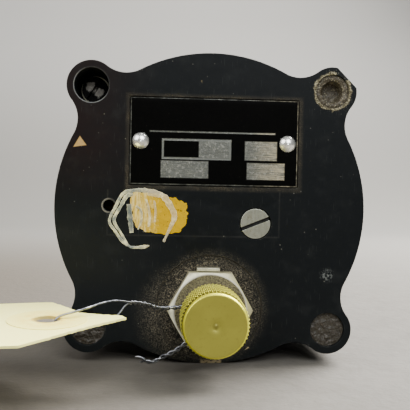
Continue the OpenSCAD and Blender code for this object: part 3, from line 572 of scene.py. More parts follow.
def soft_finish(name, colour, other, rough=0.7, scale=1.5, depth=0.05):
    """Rubber, fibre and matt paint."""
    f = Finish(name)
    lumps = f.grain(scale, 4, 0.65)
    return f.wear(f.mix(lumps, colour, other), f.blend(lumps, rough - 0.08, rough + 0.1), None,
                  f.bump(lumps, depth, 0.7))


def wax_finish(name, dark, light, crumbs):
    """Sealing wax, lumpy, with so many pale crumbs."""
    f = Finish(name, {"Subsurface Weight": 0.05, "Subsurface Radius": (0.0006, 0.0003, 0.0002)})
    lumps = f.grain(0.9, 5, 0.7)
    crumb = f.step(f.grain(2.4, 4, 0.75, shift=(3, 7, 1)), 0.52, 0.66) * crumbs
    rim = f.step(f.s, BACK_FACE - 1.6, BACK_FACE - 0.3) * 0.35
    return f.wear(f.mix((crumb | rim * crumb * 2), f.mix(lumps, dark, rgb(54, 47, 35)), light),
                  f.blend(crumb, 0.42, 0.8), None, f.bump(lumps + crumb * 0.6, 0.25, 0.9))


def plate_marks(f, speck):
    """The plate's bare metal: four brushed fields, one framed field, a ruled line and the rubbed border."""
    left, right, low, high = FRAMED_FIELD
    framed = f.box(left, right, low, high, 0.08)
    framed = framed - f.box(left + FRAME_LINE, right - FRAME_LINE, low + FRAME_LINE, high - FRAME_LINE, 0.08)
    silver = f.box(*BRUSHED_FIELDS[0])
    for field in BRUSHED_FIELDS[1:]:
        silver = silver | f.box(*field)
    # Painted sheen: the ruled line is brighter towards the right.
    rule = f.box(*RULE_LINE, 0.08) * f.blend(f.step(f.x, -10, 14), 0.6, 0.95)
    border = 1 - f.box(plate_low.x + 0.22, plate_high.x - 0.22, plate_low.y + 0.26, plate_high.y - 0.16, 0.1)
    border = f.step(border + (f.grain(1.6, 3) - 0.5) * 0.3, 0.45, 0.7)
    border = border * f.blend(f.step(f.grain(0.5, 3, 0.6), 0.4, 0.6), 0.25, 0.8)
    return silver, framed, silver * f.blend(speck, 0.9, 0.6) | framed | rule | border * 0.7


def plate_finish():
    """Black plate with a bright worn edge, one ruled line and brushed fields, all blank; fields and line get
    a painted sheen towards the right.
    """
    f = Finish("black plate with brushed boxes", {"Specular IOR Level": 0.03})
    silver, framed, bright = plate_marks(f, f.step(f.grain(3.0, 4, 0.8), 0.5, 0.62))
    streaks = f.grain(0.9, 4, 0.65, stretch=(0.35, 7, 1))
    shine = f.mix(streaks, rgb(52, 54, 50), rgb(142, 144, 138))
    stamped = f.step(f.grain(1.2, 5, 0.8, shift=(4, 4, 4)), 0.5, 0.64)
    shine = f.mix(stamped * 0.45, shine, rgb(190, 190, 180))
    # Painted sheen: the brushed metal turns pale and warm towards the right.
    shine = f.mix(f.step(f.x, 8, 18) * f.step(streaks, 0.35, 0.6) * 0.6, shine, rgb(214, 200, 164))
    base = f.mix(bright, f.mix(f.grain(1.2, 4, 0.6), rgb(2, 2, 2), rgb(7, 7, 6)), shine)
    base = f.mix(framed * 0.6, base, rgb(112, 114, 110))
    chipped = f.step(f.grain(1.3, 4, 0.8, shift=(9, 2, 0)), 0.66, 0.7) * 0.35
    base = f.mix(chipped * (1 - bright), base, rgb(60, 58, 52))
    height = bright * -0.4 + f.grain(2.5, 3) * 0.1 + streaks * silver * 0.3
    return f.wear(base, f.blend(bright, 0.34, 0.42) + f.grain(1.1) * 0.1, bright * 0.8,
                  f.bump(height, 0.12, 0.7))


def cap_finish():
    """Yellow anodising, with painted highlights on the rim and the grip's points, and painted shade in its
    valleys.
    """
    f = Finish("yellow anodised aluminium")
    off = f.away(UNION.x, UNION.y)
    round_lines = f.grain(2.2, 2, 0.5, spot=f.node("CombineXYZ", {}, {0: off, 1: 0.0, 2: 0.0}))
    cloud = f.grain(0.25, 3, 0.6)
    base = f.mix(cloud, rgb(142, 136, 50), rgb(160, 154, 60))
    side = f.step(off, CAP_R - 1.0, CAP_R - 0.85)
    grip = side * f.fade(f.s, cap_high.z - 1.2, cap_high.z - 0.95)
    rim = side * (1 - grip)
    # Painted highlight: the rim's chamfer is bright yellow all round.
    base = f.mix(rim * 0.9, base, rgb(248, 242, 66))
    # Painted shade in the grip's valleys, painted highlights on its points.
    points = f.mix(f.step(off, CAP_R - 0.42, CAP_R - 0.16), rgb(116, 108, 34), rgb(250, 245, 92))
    base = f.mix(grip, base, points)
    stain = f.step(f.grain(1.1, 4, 0.7), 0.54, 0.74) * 0.35
    base = f.mix(stain, base, rgb(112, 98, 36))
    base = f.mix(f.fade(off, 0.3, 1.1) * 0.5, base, rgb(96, 90, 40))
    return f.wear(base, f.blend(cloud, 0.34, 0.46) + stain * 0.2, f.blend(rim, 0.5, 0.75),
                  f.bump(round_lines + f.grain(3.0) * 0.4, 0.015, 0.6))


def label_finish():
    """Yellow paper, rubbed pale at the left where the film lay, with a few dark flecks."""
    f = Finish("torn yellow paper", {"Specular IOR Level": 0.06})
    fibre = f.grain(2.2, 5, 0.7, stretch=(1, 2.5, 1))
    cloud = f.grain(0.5, 3, 0.6, shift=(3, 3, 3))
    rubbed = f.fade(f.x + (f.grain(0.6, 4, 0.65) - 0.5) * 9, -17.5, -13.5)
    streak = f.step(f.grain(0.7, 3, 0.6, stretch=(2.6, 0.5, 1), shift=(1, 0, 2)), 0.42, 0.58)
    base = f.mix(cloud, rgb(166, 130, 0), rgb(212, 172, 0))
    pale = f.mix(fibre, rgb(212, 186, 100), rgb(248, 228, 160))
    base = f.mix(rubbed * f.blend(streak, 0.25, 0.9), base, pale)
    fleck = f.step(f.grain(1.1, 3, 0.7, shift=(8, 1, 0)), 0.62, 0.68)
    base = f.mix(fleck * 0.6, base, rgb(96, 66, 18))
    return f.wear(base, 0.5 + fibre * 0.25, None, f.bump(fibre + rubbed * streak * 0.8, 0.08, 0.8))


def film_finish():
    """Dried glue and torn clear film: milky, pale at its rounded edges."""
    f = Finish("dried seal film", {"Specular IOR Level": 0.5, "Subsurface Weight": 0.1,
                                   "Subsurface Radius": (0.0006, 0.0005, 0.0004)})
    cloud = f.grain(0.45, 4, 0.65, shift=(1, 6, 0))
    over_label = f.step(f.x, -19.5, -14.5)
    upright = f.box(-21.9, -20.2, -6.3, 1.2, 0.4)
    rim = f.edge(0.25, 0.02, 0.2)
    base = f.mix(f.step(cloud, 0.36, 0.62), rgb(138, 146, 138), rgb(255, 248, 192))
    base = f.mix(over_label * 0.6, base, rgb(252, 228, 176))
    base = f.mix(upright * 0.75, base, rgb(84, 98, 104))
    base = f.mix(rim * 0.7, base, rgb(255, 252, 220))
    clear = f.blend(over_label, 0.6, 0.45)
    return f.wear(base, 0.3 + f.grain(1.8) * 0.3, None, f.bump(f.grain(1.5, 4), 0.08, 0.7),
                  alpha=f.blend(rim * 0.8 | f.step(cloud, 0.5, 0.7) * 0.8, clear, 1.0))


def tag_finish(name, light, shade, stained):
    """Card or paper, stained round the tag's hole and browned at its rim."""
    f = Finish(name, {"Specular IOR Level": 0.1, "Subsurface Weight": 0.08,
                      "Subsurface Radius": (0.001, 0.0008, 0.0005)})
    fibre = f.grain(1.8, 5, 0.7)
    cloud = f.grain(0.12, 3, 0.6)
    off_hole = ((f.x - TAG_HOLE.x) ** 2 + (f.s - TAG_HOLE.z) ** 2) ** 0.5
    stain = f.fade(off_hole, 3.2, 8.5) * f.step(f.grain(0.35, 4, 0.7), 0.34, 0.6)
    base = f.mix(cloud, light, shade)
    base = f.mix(stain * stained, base, rgb(236, 196, 60))
    base = f.mix(f.fade(off_hole + (fibre - 0.5) * 1.5, 2.9, 3.6) * 0.5, base, rgb(150, 104, 50))
    base = f.mix(f.step(fibre, 0.62, 0.75) * 0.12, base, rgb(170, 160, 130))
    return f.wear(base, 0.75 + fibre * 0.12, None, f.bump(fibre, 0.04, 0.6))


def glass_finish():
    """Clear window glass, faintly smeared."""
    f = Finish("flat window glass", {"Base Color": (0.93, 0.97, 0.97, 1), "Transmission Weight": 1.0,
                                     "IOR": 1.46})
    smear = f.step(f.grain(0.12, 4, 0.6), 0.5, 0.8)
    return f.wear(None, smear * 0.05 + 0.02)


CASE = case_finish()
STEEL = metal_finish("dull plated steel", rgb(236, 234, 208), rgb(196, 192, 164), 0.34, 0.5, 0.8)
UNION_STEEL = union_finish()
SCREW_STEEL = screw_finish()
POLISHED = metal_finish("polished small steel", rgb(205, 205, 202), rgb(170, 170, 165), 0.2, 0.1)
PLUG_METAL = plug_finish()
RIVET_METAL = metal_finish("bright rivet domes", rgb(255, 255, 248), rgb(214, 214, 204), 0.24, 0.3, 0.92)
WIRE_METAL = metal_finish("twisted galvanised wire", rgb(146, 148, 152), rgb(84, 86, 92), 0.3, 0.3)
BRASS = brass_finish("lacquered brass")
BRONZE = brass_finish("bronze strip", rgb(120, 88, 56), rgb(84, 58, 36))
SOLDERED = brass_finish("soldered end block", rgb(78, 62, 38), rgb(44, 35, 24))
RUBBER = soft_finish("black rubber", rgb(20, 20, 20), rgb(34, 33, 32))
FIBRE = soft_finish("red fibre", rgb(96, 46, 28), rgb(120, 64, 40))
MATT_BLACK = soft_finish("matt black paint", rgb(18, 18, 18), rgb(26, 26, 25), 0.62, 3.0, 0.02)
IVORY = soft_finish("ivory paint", rgb(232, 226, 204), rgb(216, 208, 180), 0.5, 2.0, 0.01)
WAX = wax_finish("dark sealing wax", rgb(28, 25, 18), rgb(92, 86, 72), 0.6)
PALE_WAX = wax_finish("crumbled pale wax", rgb(70, 62, 44), rgb(196, 188, 160), 1.0)
PLATE = plate_finish()
CAP = cap_finish()
LABEL = label_finish()
FILM = film_finish()
CARD = tag_finish("cream card", rgb(255, 251, 164), rgb(255, 245, 146), 0.3)
RING_PAPER = tag_finish("pale yellow ring", rgb(255, 246, 150), rgb(250, 236, 124), 0.6)
GLASS = glass_finish()

# CAD nodes that show as they are, by finish
CAD_FINISHES = (
    (RUBBER, ("case_gasket", "glass_gasket", "cap_disc", "socket_gasket")),
    (MATT_BLACK, ("spacer_ring", "dial")),
    (GLASS, ("glass",)),
    (BRASS, ("thread_inserts", "dial_posts", "pointer_hub", "centre_pinion", "hairspring_collet",
             "hairspring_stud", "sector_gear", "front_plate", "rear_plate", "pillars", "tube_socket")),
    (SOLDERED, ("tube_tip",)),
    (BRONZE, ("hairspring",)),
    (STEEL, ("screw_washers",)),
    (POLISHED, ("dial_screws", "zero_stop", "sector_arbor", "movement_screws", "tip_pin", "link",
                "tail_pin")),
    (FIBRE, ("plug_washer",)),
    (IVORY, ("pointer",)),
    (RIVET_METAL, ("plate_rivets",)),
)
for finish, nodes in CAD_FINISHES:
    for node in nodes:
        mesh = frame["nodes"][node].data
        mesh.materials.clear()
        mesh.materials.append(finish.material)


# Case, screws and union from their CAD shapes, with rounded edges

recut("case_body", CASE, 0.16)
recut("front_flange", CASE, 0.28)
recut("case_screws", SCREW_STEEL, 0.18, 2)
recut("adjusting_plug", PLUG_METAL, 0.15, 2)
recut("pressure_union", UNION_STEEL, 0.08, 2)
recut("tab_washer", STEEL, 0.12, 2)


# Bourdon tube, spun between its socket and its free end

def bourdon_tube():
    """A hollow oval section spun round the case's axis."""
    low, high = span("bourdon_tube")
    thick, wall, first, sweep = 3.0, 0.4, -84, 264
    out, middle, half = high.x - thick / 2, (low.z + high.z) / 2, (high.z - low.z - thick) / 2
    section, sides = [], 32
    for k in range(sides):
        a = 2 * pi * (k + 0.5) / sides
        centre = Vector((out, 0, middle + (half if sin(a) > 0 else -half)))
        section.append(centre + thick / 2 * Vector((cos(a), 0, sin(a))))
    bm = bmesh.new()
    edges = draw_line(bm, section, closed=True)[1]
    for v in new_verts(bmesh.ops.extrude_edge_only(bm, edges=edges)):
        centre = Vector((out, 0, middle + (half if v.co.z > middle else -half)))
        v.co = centre + (v.co - centre) * (1 - 2 * wall / thick)
    bmesh.ops.rotate(bm, cent=(0, 0, 0), matrix=Matrix.Rotation(radians(first), 3, "Z"), verts=bm.verts)
    bmesh.ops.spin(bm, geom=bm.verts[:] + bm.edges[:] + bm.faces[:], cent=(0, 0, 0), axis=(0, 0, 1),
                   angle=radians(sweep), steps=88)
    bmesh.ops.recalc_face_normals(bm, faces=bm.faces)
    piece = solid("bourdon_tube_bending", bm, None, BRONZE, "bourdon_tube")
    start, end = (out * Vector((cos(radians(a)), sin(radians(a)), 0)) for a in (first, first + sweep))
    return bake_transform(piece, "case", "tube_end", BACK @ start, BACK @ end)


bourdon_tube()


# Data plate

def data_plate():
    """A slightly wavy plate whose border is bent down."""
    low, high = plate_low, plate_high
    middle = (low + high) / 2
    bm = bmesh.new()
    bmesh.ops.create_grid(bm, x_segments=88, y_segments=46, size=0.5)
    bmesh.ops.scale(bm, vec=(high.x - low.x, high.y - low.y, 1), verts=bm.verts)
    bmesh.ops.translate(bm, vec=(middle.x, middle.y, high.z - 0.04), verts=bm.verts)
    for v in bm.verts:
        rim = min(v.co.x - low.x, high.x - v.co.x, v.co.y - low.y, high.y - v.co.y)
        v.co.z += 0.03 * noise.noise(v.co * 0.16) - 0.06 * max(0, 1 - rim / 0.6)
    thicken(bm, low.z)
    return solid("data_plate_engraved", bm, "case", PLATE, "data_plate")


data_plate()


# Sealing wax in three wells

def wax_plug(name, x, y, finish, crater, seed):
    """A lumpy plug of wax down to the screw, whole or dug out to a crater."""
    wall, rings, pit = WELL_R * 0.985, 14, 2.9
    top = wax_high.z - (0.15 if crater else 0.5)
    profile = [(wall * i / rings, 0.0) for i in range(rings + 1)]
    if crater:
        profile = [(0, -3.4), (pit * 0.5, -3.5), (pit * 0.8, -3.2), (pit * 0.9, -2.2), (pit * 0.96, -1.0),
                   (pit, -0.35), (pit + 0.3, -0.12), (pit + 0.7, 0), (pit + 1.1, -0.05), (wall, -0.3)]
    profile = [(r, top + h) for r, h in profile]
    profile += [(wall, top - 1.2), (wall, SCREW_TOP + 0.1), (0, SCREW_TOP + 0.1)]
    bm = bmesh.new()
    spin_profile(bm, profile, (x, y), 64)
    upper = [e for e in bm.edges if min(v.co.z for v in e.verts) > top - 4.2]
    bmesh.ops.subdivide_edges(bm, edges=upper, cuts=1, use_grid_fill=True)
    for v in bm.verts:
        reach = Vector((v.co.x - x, v.co.y - y, 0)).length
        if v.co.z > SCREW_TOP + 0.5 and reach < WELL_R * 0.96:
            lump = noise.noise(v.co * 0.8 + Vector((seed, 0, 0))) * 0.35
            lump += noise.noise(v.co * 2.4 + Vector((0, seed, 0))) * 0.16
            v.co.z += lump * (0.9 if crater else 1.0) - 0.25
            if crater and reach > 2.2:
                turn = atan2(v.co.y - y, v.co.x - x)
                v.co.z += 0.25 * max(0, noise.noise(Vector((turn * 2.2, seed, 3))))
    return solid(name, bm, "case", finish, "sealing_wax", smooth=60)


wax_plug("wax_lower_left", -WELL_AT, -WELL_AT, WAX, False, 3.1)
wax_plug("wax_lower_right", WELL_AT, -WELL_AT, WAX, False, 8.4)
wax_plug("wax_upper_right", WELL_AT, WELL_AT, PALE_WAX, True, 5.7)


# Knurled dust cap

def dust_cap():
    """The grip is a grid of raised points, wrapped round the cap. Valleys run between the low corners."""
    points, rows, depth = 54, 5, 0.5
    across, up = points * 2, rows * 2
    tip_r = CAP_R - 0.02
    valley_r = tip_r - depth
    foot, top = cap_low.z, cap_high.z
    grip_low, grip_high = foot + 0.9, top - 0.8
    bm = bmesh.new()
    bmesh.ops.create_grid(bm, x_segments=across, y_segments=up, size=0.5)
    index = {v: (round((v.co.x + 0.5) * across), round((v.co.y + 0.5) * up)) for v in bm.verts}
    for v, (i, j) in index.items():
        r = tip_r if (i + j) % 2 == 0 and 0 < j < up else valley_r
        turn = 2 * pi * i / across
        v.co = (UNION.x + r * cos(turn), UNION.y + r * sin(turn), grip_low + (grip_high - grip_low) * j / up)
    valleys = [v for v, (i, j) in index.items() if (i + j) % 2 or j in (0, up)]
    bmesh.ops.connect_verts(bm, verts=valleys, check_degenerate=False)
    bmesh.ops.remove_doubles(bm, verts=bm.verts, dist=0.01)
    side, bore_r, bore_end = CAP_R - 0.5, 6.15, foot + 12.4
    end_face = [(valley_r, grip_high), (side, grip_high + 0.06), (side, top - 0.62),
                (CAP_R - 0.85, top - 0.12), (CAP_R - 1.0, top - 0.05), (CAP_R - 1.25, top - 0.06),
                (5.2, top - 0.12), (2.4, top - 0.16), (1.15, top - 0.2), (0.95, top - 0.3),
                (0.5, top - 0.34), (0.28, top - 0.2), (0, top - 0.16)]
    foot_and_bore = [(valley_r, grip_low), (side, foot + 0.45), (CAP_R - 0.75, foot + 0.12),
                     (CAP_R - 1.0, foot), (bore_r + 0.05, foot), (bore_r, foot + 0.2),
                     (bore_r, bore_end), (0, bore_end)]
    for profile in (end_face, foot_and_bore):
        spin_profile(bm, profile, UNION[:2], across)
    bmesh.ops.remove_doubles(bm, verts=bm.verts, dist=0.01)
    bmesh.ops.recalc_face_normals(bm, faces=bm.faces)
    return solid("dust_cap_knurled", bm, "dust_cap", CAP, "dust_cap", smooth=48)


dust_cap()


# Twisted seal wire: its routes are given, its turns are worked out

STRAND_R = 0.25
TWIST_R = 0.33
PAIR_PITCH = 3.4
TAIL_PITCH = 4.2
NECK_LOOP_R = 5.78
NECK_LOOP_S = 52
PAIR = [(-5.6, -24.6, 52.4), (-7.4, -24.6, 52.6), (-10.7, -24.7, 53.5), (-13.4, -24.4, 55.5),
        (-16.3, -22.9, 59), (-19.6, -21.8, 63)]
TAIL = [(-3.6, -30.2, 52.4), (-5.1, -32.6, 53), (-8.6, -35, 54.5), (-12.2, -36.6, 55.5), (-14.6, -37.6, 56.2),
        (-18.5, -35.9, 57.5)]
TAIL_OTHER_END = (-17.2, -36.9, 57.4)
TAG_LOOP = [(-19.4, -21.8, 62.8), (-22.8, -20.9, 66), (-25.6, -20.9, 69), (-28, -21.3, 72),
            (-31, -21.9, 74.8), (-34.2, -22.7, 76.2), (-35, -23.8, 76.6), (-34.6, -25.1, 76.2),
            (-31.5, -25.9, 74), (-28, -26.1, 70.5), (-24.6, -25.6, 67), (-22.4, -24.2, 65.4),
            (-20.9, -22.4, 64), (-19.5, -21.7, 62.9)]


def smooth_route(route, steps):
    """A smooth line through the route's points."""
    p = [Vector(q) for q in route]
    line = []
    for i in range(len(p) - 1):
        a, b, c, d = p[max(i - 1, 0)], p[i], p[i + 1], p[min(i + 2, len(p) - 1)]
        for k in range(steps):
            t = k / steps
            bend = (2 * a - 5 * b + 4 * c - d) * t * t
            line.append(0.5 * (2 * b + (c - a) * t + bend + (3 * b - a - 3 * c + d) * t ** 3))
    return line + [p[-1]]


def heading(line, i):
    """The direction of a line at one of its points."""
    return (line[min(i + 1, len(line) - 1)] - line[max(i - 1, 0)]).normalized()


def twist(route, pitch, phase=0.0):
    """One strand wound round a route."""
    line = smooth_route(route, 16)
    side = Vector((0.1, 0.9, 0.2))
    gone, strand = 0.0, []
    for i, spot in enumerate(line):
        ahead = heading(line, i)
        side = (side - ahead * side.dot(ahead)).normalized()
        if i:
            gone += (spot - line[i - 1]).length
        turn = phase + 2 * pi * gone / pitch
        strand.append(spot + TWIST_R * (cos(turn) * side + sin(turn) * ahead.cross(side)))
    return strand


def neck_loop():
    """Rather less than two turns round the union's neck, rising a little."""
    first, last, rise = 231, 888, 0.55
    loop = []
    for a in range(first, last, 8):
        x, y = NECK_LOOP_R * cos(radians(a)), NECK_LOOP_R * sin(radians(a))
        loop.append(UNION + Vector((x, y, NECK_LOOP_S + rise * (a - first) / 360)))
    return loop


def seal_wire():
    """A loop round the neck, a twisted pair towards the tag, a twisted tail, and a loop through the tag."""
    strands = [neck_loop(), twist(PAIR, PAIR_PITCH), twist(PAIR, PAIR_PITCH, pi),
               twist(TAIL, TAIL_PITCH), twist(TAIL[:-1] + [TAIL_OTHER_END], TAIL_PITCH, pi),
               smooth_route(TAG_LOOP, 8)]
    curve = bpy.data.curves.new("seal_wire_shape", "CURVE")
    curve.dimensions = "3D"
    curve.bevel_depth = STRAND_R * MM
    curve.bevel_resolution = 3
    curve.use_fill_caps = True
    for strand in strands:
        spline = curve.splines.new("POLY")
        spline.points.add(len(strand) - 1)
        for point, spot in zip(spline.points, strand):
            point.co = (BACK @ Vector(spot)).to_4d()
    bm = bmesh.new()
    bm.from_mesh(mesh_of(curve))
    bmesh.ops.remove_doubles(bm, verts=bm.verts, dist=1e-6)
    bmesh.ops.recalc_face_normals(bm, faces=bm.faces)
    return solid("seal_wire_twisted", bm, "wire", WIRE_METAL, "seal_wire",
                 smooth=70, place=Matrix.Identity(4))


seal_wire()


# Card tag, drawn flat round its hole, then turned, tilted and set on the wire

TAG_TURN = radians(9)
TAG_TILT = radians(3)
TAG = (BACK @ Matrix.Translation(TAG_HOLE)
       @ Matrix.Rotation(TAG_TURN, 4, "Y") @ Matrix.Rotation(TAG_TILT, 4, "X")
       @ Matrix.Rotation(radians(-90), 4, "X") @ Matrix.Diagonal((-1, -1, 1, 1)))
TAG_T = 0.5
TAG_FAR = 52.98
TAG_OUTLINE = [(-17, -1.5), (-16, -3.5), (-12, -4.5), (-7, -6.5), (-5.5, -10), (-1, -17), (TAG_FAR, -17),
               (TAG_FAR, 19), (5, 19)]
TAG_RING_R = 8.5
RING_CORNERS = 24


def inside(outline, x, y):
    """Whether a point lies in a closed outline."""
    hit = False
    for (x0, y0), (x1, y1) in zip(outline, outline[1:] + outline[:1]):
        if (y0 > y) != (y1 > y) and x < x0 + (y - y0) * (x1 - x0) / (y1 - y0):
            hit = not hit
    return hit


def droop(along, across):
    """How the card bends out of flat, in millimetres: it sags to its far end and waves from side to side."""
    sag = -0.00021 * max(0, along) ** 2
    return sag + 0.21 * sin(across * 0.14 + along * 0.05) * min(1, abs(along) / 14)


def card(name, outline, low, high, finish, rag, node):
    """A sheet with the tag's hole, ragged along its near edges."""
    bm = bmesh.new()
    edges = draw_line(bm, [(x, y, 0) for x, y in outline], closed=True)[1]
    bmesh.ops.subdivide_edges(bm, edges=edges, cuts=9)
    bmesh.ops.create_circle(bm, cap_ends=False, segments=40, radius=TAG_HOLE_R)
    bmesh.ops.triangle_fill(bm, edges=bm.edges[:], use_beauty=True)
    in_hole = [face for face in bm.faces if face.calc_center_median().length < TAG_HOLE_R * 0.6]
    bmesh.ops.delete(bm, geom=in_hole, context="FACES")
    long_edges = [e for e in bm.edges if e.calc_length() > 2.5]
    bmesh.ops.subdivide_edges(bm, edges=long_edges, cuts=3, use_grid_fill=False)
    bmesh.ops.triangulate(bm, faces=bm.faces)
    rim = {v for e in bm.edges if e.is_boundary for v in e.verts if v.co.length > TAG_HOLE_R * 1.5}
    for v in bm.verts:
        if v in rim and v.co.x < 0:
            v.co.x += rag * noise.noise(v.co * 1.3)
            v.co.y += rag * noise.noise(v.co * 1.1 + Vector((4, 4, 0)))
        v.co.z = high
    thicken(bm, low)
    for v in bm.verts:
        v.co.z += droop(v.co.x, v.co.y)
    return solid(name, bm, "tag", finish, node, smooth=50, place=TAG)


def tag_ring():
    """The paper ring that reinforces the hole."""
    turns = [2 * pi * k / RING_CORNERS for k in range(RING_CORNERS)]
    outline = [(TAG_RING_R * cos(turn), TAG_RING_R * sin(turn)) for turn in turns]
    return card("tag_ring_worn", outline, TAG_T / 2 + 0.01, TAG_T / 2 + 0.14, RING_PAPER, 0.15, "tag_ring")


card("card_tag_worn", TAG_OUTLINE, -TAG_T / 2, TAG_T / 2, CARD, 0.35, "card_tag")
tag_ring()


# Torn paper label, and the torn seal film over it

LABEL_OUTLINE = [(-21.1, 3.4), (-19.7, 4.5), (-16, 3.9), (-11.7, 3.3), (-8.8, 2.5), (-6.5, 1.6), (-6.1, -1),
                 (-6.4, -4.4), (-8.6, -6.3), (-11.2, -6.6), (-14.5, -6.6), (-18, -5.8), (-19.3, -5.1),
                 (-20.2, -2.6), (-20.8, 0.7)]

# Each strip's route, and its width at each point
FILM_STRIPS = [
    ([(-12.7, 3.5), (-16, 4.4), (-19.7, 4.5), (-22.8, 3.7), (-24.7, 0.3), (-26.3, -3.5), (-24.8, -6.1),
      (-22.9, -8.7), (-20.8, -10.2)], [1.0, 1.2, 0.9, 0.8, 0.75, 0.7, 0.75, 0.8, 0.5]),
    ([(-20.9, -10.3), (-19, -10.3), (-17.2, -10.1), (-15.9, -9.8)], [0.6, 0.7, 1.0, 0.3]),
    ([(-20.3, 3.5), (-22.0, 2.9), (-23.5, 0.2), (-25.1, -3.3), (-23.3, -6.6), (-21.5, -9.6)],
     [0.9, 1.0, 0.8, 0.8, 0.6, 0.5]),
    ([(-16.5, 3.9), (-12.7, 3.2), (-10.7, 0.7), (-9.5, -2.0), (-10.4, -4.7), (-11.3, -6.7), (-12.2, -8.7)],
     [1.3, 1.5, 1.6, 1.3, 0.9, 0.6, 0.6]),
    ([(-21.3, 0.9), (-21.0, -2.5), (-20.5, -6.5)], [1.2, 1.3, 1.0]),
    ([(-19.6, 0.4), (-18.3, -0.6), (-18.0, -3.2), (-18.9, -5.6)], [0.5, 0.7, 0.7, 0.4]),
    ([(-17.0, 2.3), (-16.3, 0.2), (-15.9, -2.6), (-16.2, -4.9)], [0.5, 0.6, 0.7, 0.5]),
    ([(-14.9, 1.9), (-14.5, -0.3), (-14.6, -3.6)], [0.5, 0.6, 0.5]),
]


def paper_label():
    """Paper with torn edges, lifting a little at its left."""
    width, height, middle = 16.5, 12.5, (-13.7, -1.0)
    bm = bmesh.new()
    bmesh.ops.create_grid(bm, x_segments=110, y_segments=80, size=0.5)
    bmesh.ops.scale(bm, vec=(width, height, 1), verts=bm.verts)
    bmesh.ops.translate(bm, vec=(*middle, LABEL_FACE), verts=bm.verts)
    gone = []
    for face in bm.faces:
        spot = face.calc_center_median()
        tear = Vector((noise.noise(spot * 1.1), noise.noise(spot * 1.1 + Vector((5, 5, 0))), 0)) * 0.45
        if not inside(LABEL_OUTLINE, spot.x + tear.x, spot.y + tear.y):
            gone.append(face)
    bmesh.ops.delete(bm, geom=gone, context="FACES")
    rim = [v for v in bm.verts if v.is_boundary]
    bmesh.ops.smooth_vert(bm, verts=rim, factor=0.5, use_axis_x=True, use_axis_y=True)
    for v in bm.verts:
        v.co.z += 0.03 + 0.05 * noise.noise(v.co * 0.7) + 0.12 * max(0, -v.co.x - 18) * 0.3
    thicken(bm, LABEL_FACE - 0.01)
    return solid("paper_label_torn", bm, "case", LABEL, "paper_label", smooth=50)


def film_strip(bm, number, route, widths):
    """Sweeps a strip, rounded across, from one short edge along its route."""
    steps = 8
    line = smooth_route([(x, y, 0) for x, y in route], steps)
    for i, spot in enumerate(line):
        ahead = heading(line, i)
        part, rest = divmod(i / steps, 1)
        width = widths[int(part)]
        width += (widths[min(int(part) + 1, len(widths) - 1)] - width) * rest
        width *= 1 + 0.35 * noise.noise(spot * 1.3 + Vector((number, 0, 0)))
        side = Vector((-ahead.y, ahead.x, 0)) * width / 2
        lift = LABEL_FACE + 0.16 + 0.02 * number + 0.08 * noise.noise(spot * 0.9)
        ends = [spot - side, spot - side * 0.4, spot + side * 0.4, spot + side]
        places = [end + Vector((0, 0, lift + h)) for end, h in zip(ends, (-0.07, 0.04, 0.0, -0.07))]
        if i == 0:
            row, edges = draw_line(bm, places)
            continue
        made = bmesh.ops.extrude_edge_only(bm, edges=edges)
        fresh = new_verts(made)
        made_edges = [g for g in made["geom"] if isinstance(g, bmesh.types.BMEdge)]
        edges = [e for e in made_edges if all(v in fresh for v in e.verts)]
        row = [next(v for v in fresh if any(e.other_vert(v) is old for e in v.link_edges)) for old in row]
        for v, place in zip(row, places):
            v.co = place


def seal_film():
    """The torn film's rim is a broken hexagon over the label, with strips left within it."""
    bm = bmesh.new()
    for number, (route, widths) in enumerate(FILM_STRIPS):
        film_strip(bm, number, route, widths)
    thicken(bm, LABEL_FACE - 0.01)
    return solid("seal_film_torn", bm, "case", FILM, smooth=60)


paper_label()
seal_film()


# Dial marks and numerals, seen from the front

DIAL_SWEEP = 270.0
DIAL_ZERO = -45.0
MARKS = 50
MARK_R = 31.5
NUMERALS = 6
NUMERAL_R = 22.6
NUMERAL_SIZE = 5.6
PAINT_T = 0.06


def dial_marks():
    """A mark for each step, longer at the fives and tens, and a plain number at each ten."""
    bm = bmesh.new()
    level = DIAL_FACE - PAINT_T / 2
    for k in range(MARKS + 1):
        length, width = (4.2, 0.9) if k % 10 == 0 else (3.0, 0.55) if k % 5 == 0 else (1.9, 0.3)
        turn = Matrix.Rotation(radians(DIAL_ZERO + DIAL_SWEEP * k / MARKS), 3, "Z")
        made = bmesh.ops.create_cube(bm, size=1)["verts"]
        bmesh.ops.scale(bm, vec=(length, width, PAINT_T), verts=made)
        bmesh.ops.translate(bm, vec=(MARK_R - length / 2, 0, level), verts=made)
        bmesh.ops.rotate(bm, cent=(0, 0, 0), matrix=turn, verts=made)
    for k in range(NUMERALS):
        turn = radians(DIAL_ZERO + DIAL_SWEEP * k / (NUMERALS - 1))
        text = bpy.data.curves.new("numeral", "FONT")
        text.body = str(2 * k)
        text.size = NUMERAL_SIZE
        text.align_x = "CENTER"
        text.align_y = "CENTER"
        text.extrude = PAINT_T / 2
        mesh = mesh_of(text)
        place = Matrix.Translation((NUMERAL_R * cos(turn), NUMERAL_R * sin(turn), level))
        mesh.transform(place @ Matrix.Rotation(pi, 4, "Y"))
        bm.from_mesh(mesh)
    return solid("dial_marks", bm, "case", IVORY)


dial_marks()


# Floor, backdrop and light

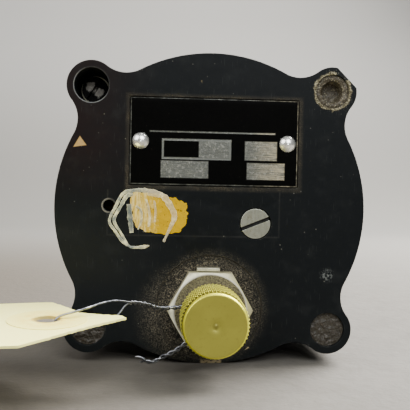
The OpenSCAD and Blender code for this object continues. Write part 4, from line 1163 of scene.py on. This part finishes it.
def table_finish():
    """Pale and plain, faintly mottled but for its far part; darker towards the left as painted shade, and
    lighter far off and up the wall as painted light.
    """
    f = Finish("plain pale table", {"Specular IOR Level": 0.2})
    # Painted shade: the near floor darkens towards the left.
    near = f.mix(f.step(f.x, -110, 70), rgb(86, 80, 71), rgb(110, 107, 101))
    # Painted light: the floor lightens far off, and the wall lightens upwards.
    far = f.mix(f.step(f.s * -1, 60, 520), near, rgb(128, 126, 121))
    wall = f.mix(f.step(f.y, 0, 240), far, rgb(160, 158, 154))
    close = f.fade(f.s * -1, 60, 320)
    mottle = f.step(f.grain(0.16, 5, 0.75), 0.35, 0.68) * close
    base = f.mix(mottle * 0.3, wall, rgb(84, 80, 74))
    return f.wear(base, 0.8, normal=f.bump(f.grain(0.3, 4, 0.7) * close, 0.8, 0.5))


def stage():
    """A floor under the case, which curves up into a wall beyond the dial."""
    floor, near, far, bend, top, half_width = -CASE_R, -900, 500, 300, 1500, 1600
    turns = [radians(9 * k) for k in range(1, 11)]
    profile = [(near, floor), (far, floor)]
    profile += [(far + bend * sin(a), floor + bend - bend * cos(a)) for a in turns]
    profile += [(far + bend, top)]
    bm = bmesh.new()
    edges = draw_line(bm, [(-half_width, y, z) for y, z in profile])[1]
    made = bmesh.ops.extrude_edge_only(bm, edges=edges)
    bmesh.ops.translate(bm, vec=(2 * half_width, 0, 0), verts=new_verts(made))
    bmesh.ops.scale(bm, vec=(MM,) * 3, verts=bm.verts)
    table = dressed("table", bm, table_finish())


def lamp(name, spot, size, power, aim=(0, -0.02, 0), colour=(1, 1, 1)):
    """A square lamp, in metres and watts, turned towards its aim."""
    data = bpy.data.lights.new(name, "AREA")
    data.shape = "SQUARE"
    data.size = size
    data.energy = power
    data.color = colour
    light = bpy.data.objects.new(name, data)
    bpy.context.collection.objects.link(light)
    light.location = spot
    light.rotation_euler = (Vector(aim) - Vector(spot)).to_track_quat("-Z", "Y").to_euler()


def soft_room(colour, strength):
    """Even light from all round."""
    world = bpy.data.worlds.new("soft room")
    bpy.context.scene.world = world
    world.use_nodes = True
    background = world.node_tree.nodes["Background"]
    background.inputs[0].default_value = (*colour, 1)
    background.inputs[1].default_value = strength


stage()
lamp("key", (0.42, 0.2, 0.5), 0.45, 29.0, colour=(1.0, 0.985, 0.96))
lamp("front", (0.2, -0.75, 0.55), 0.55, 8.0, colour=(0.97, 0.99, 1.0))
lamp("left", (-0.5, -0.4, 0.4), 0.5, 4.0)
lamp("wall", (0.25, 0.25, 1.1), 0.7, 14.0, aim=(0, 0.85, 0.5))
soft_room((0.82, 0.83, 0.85), 0.24)
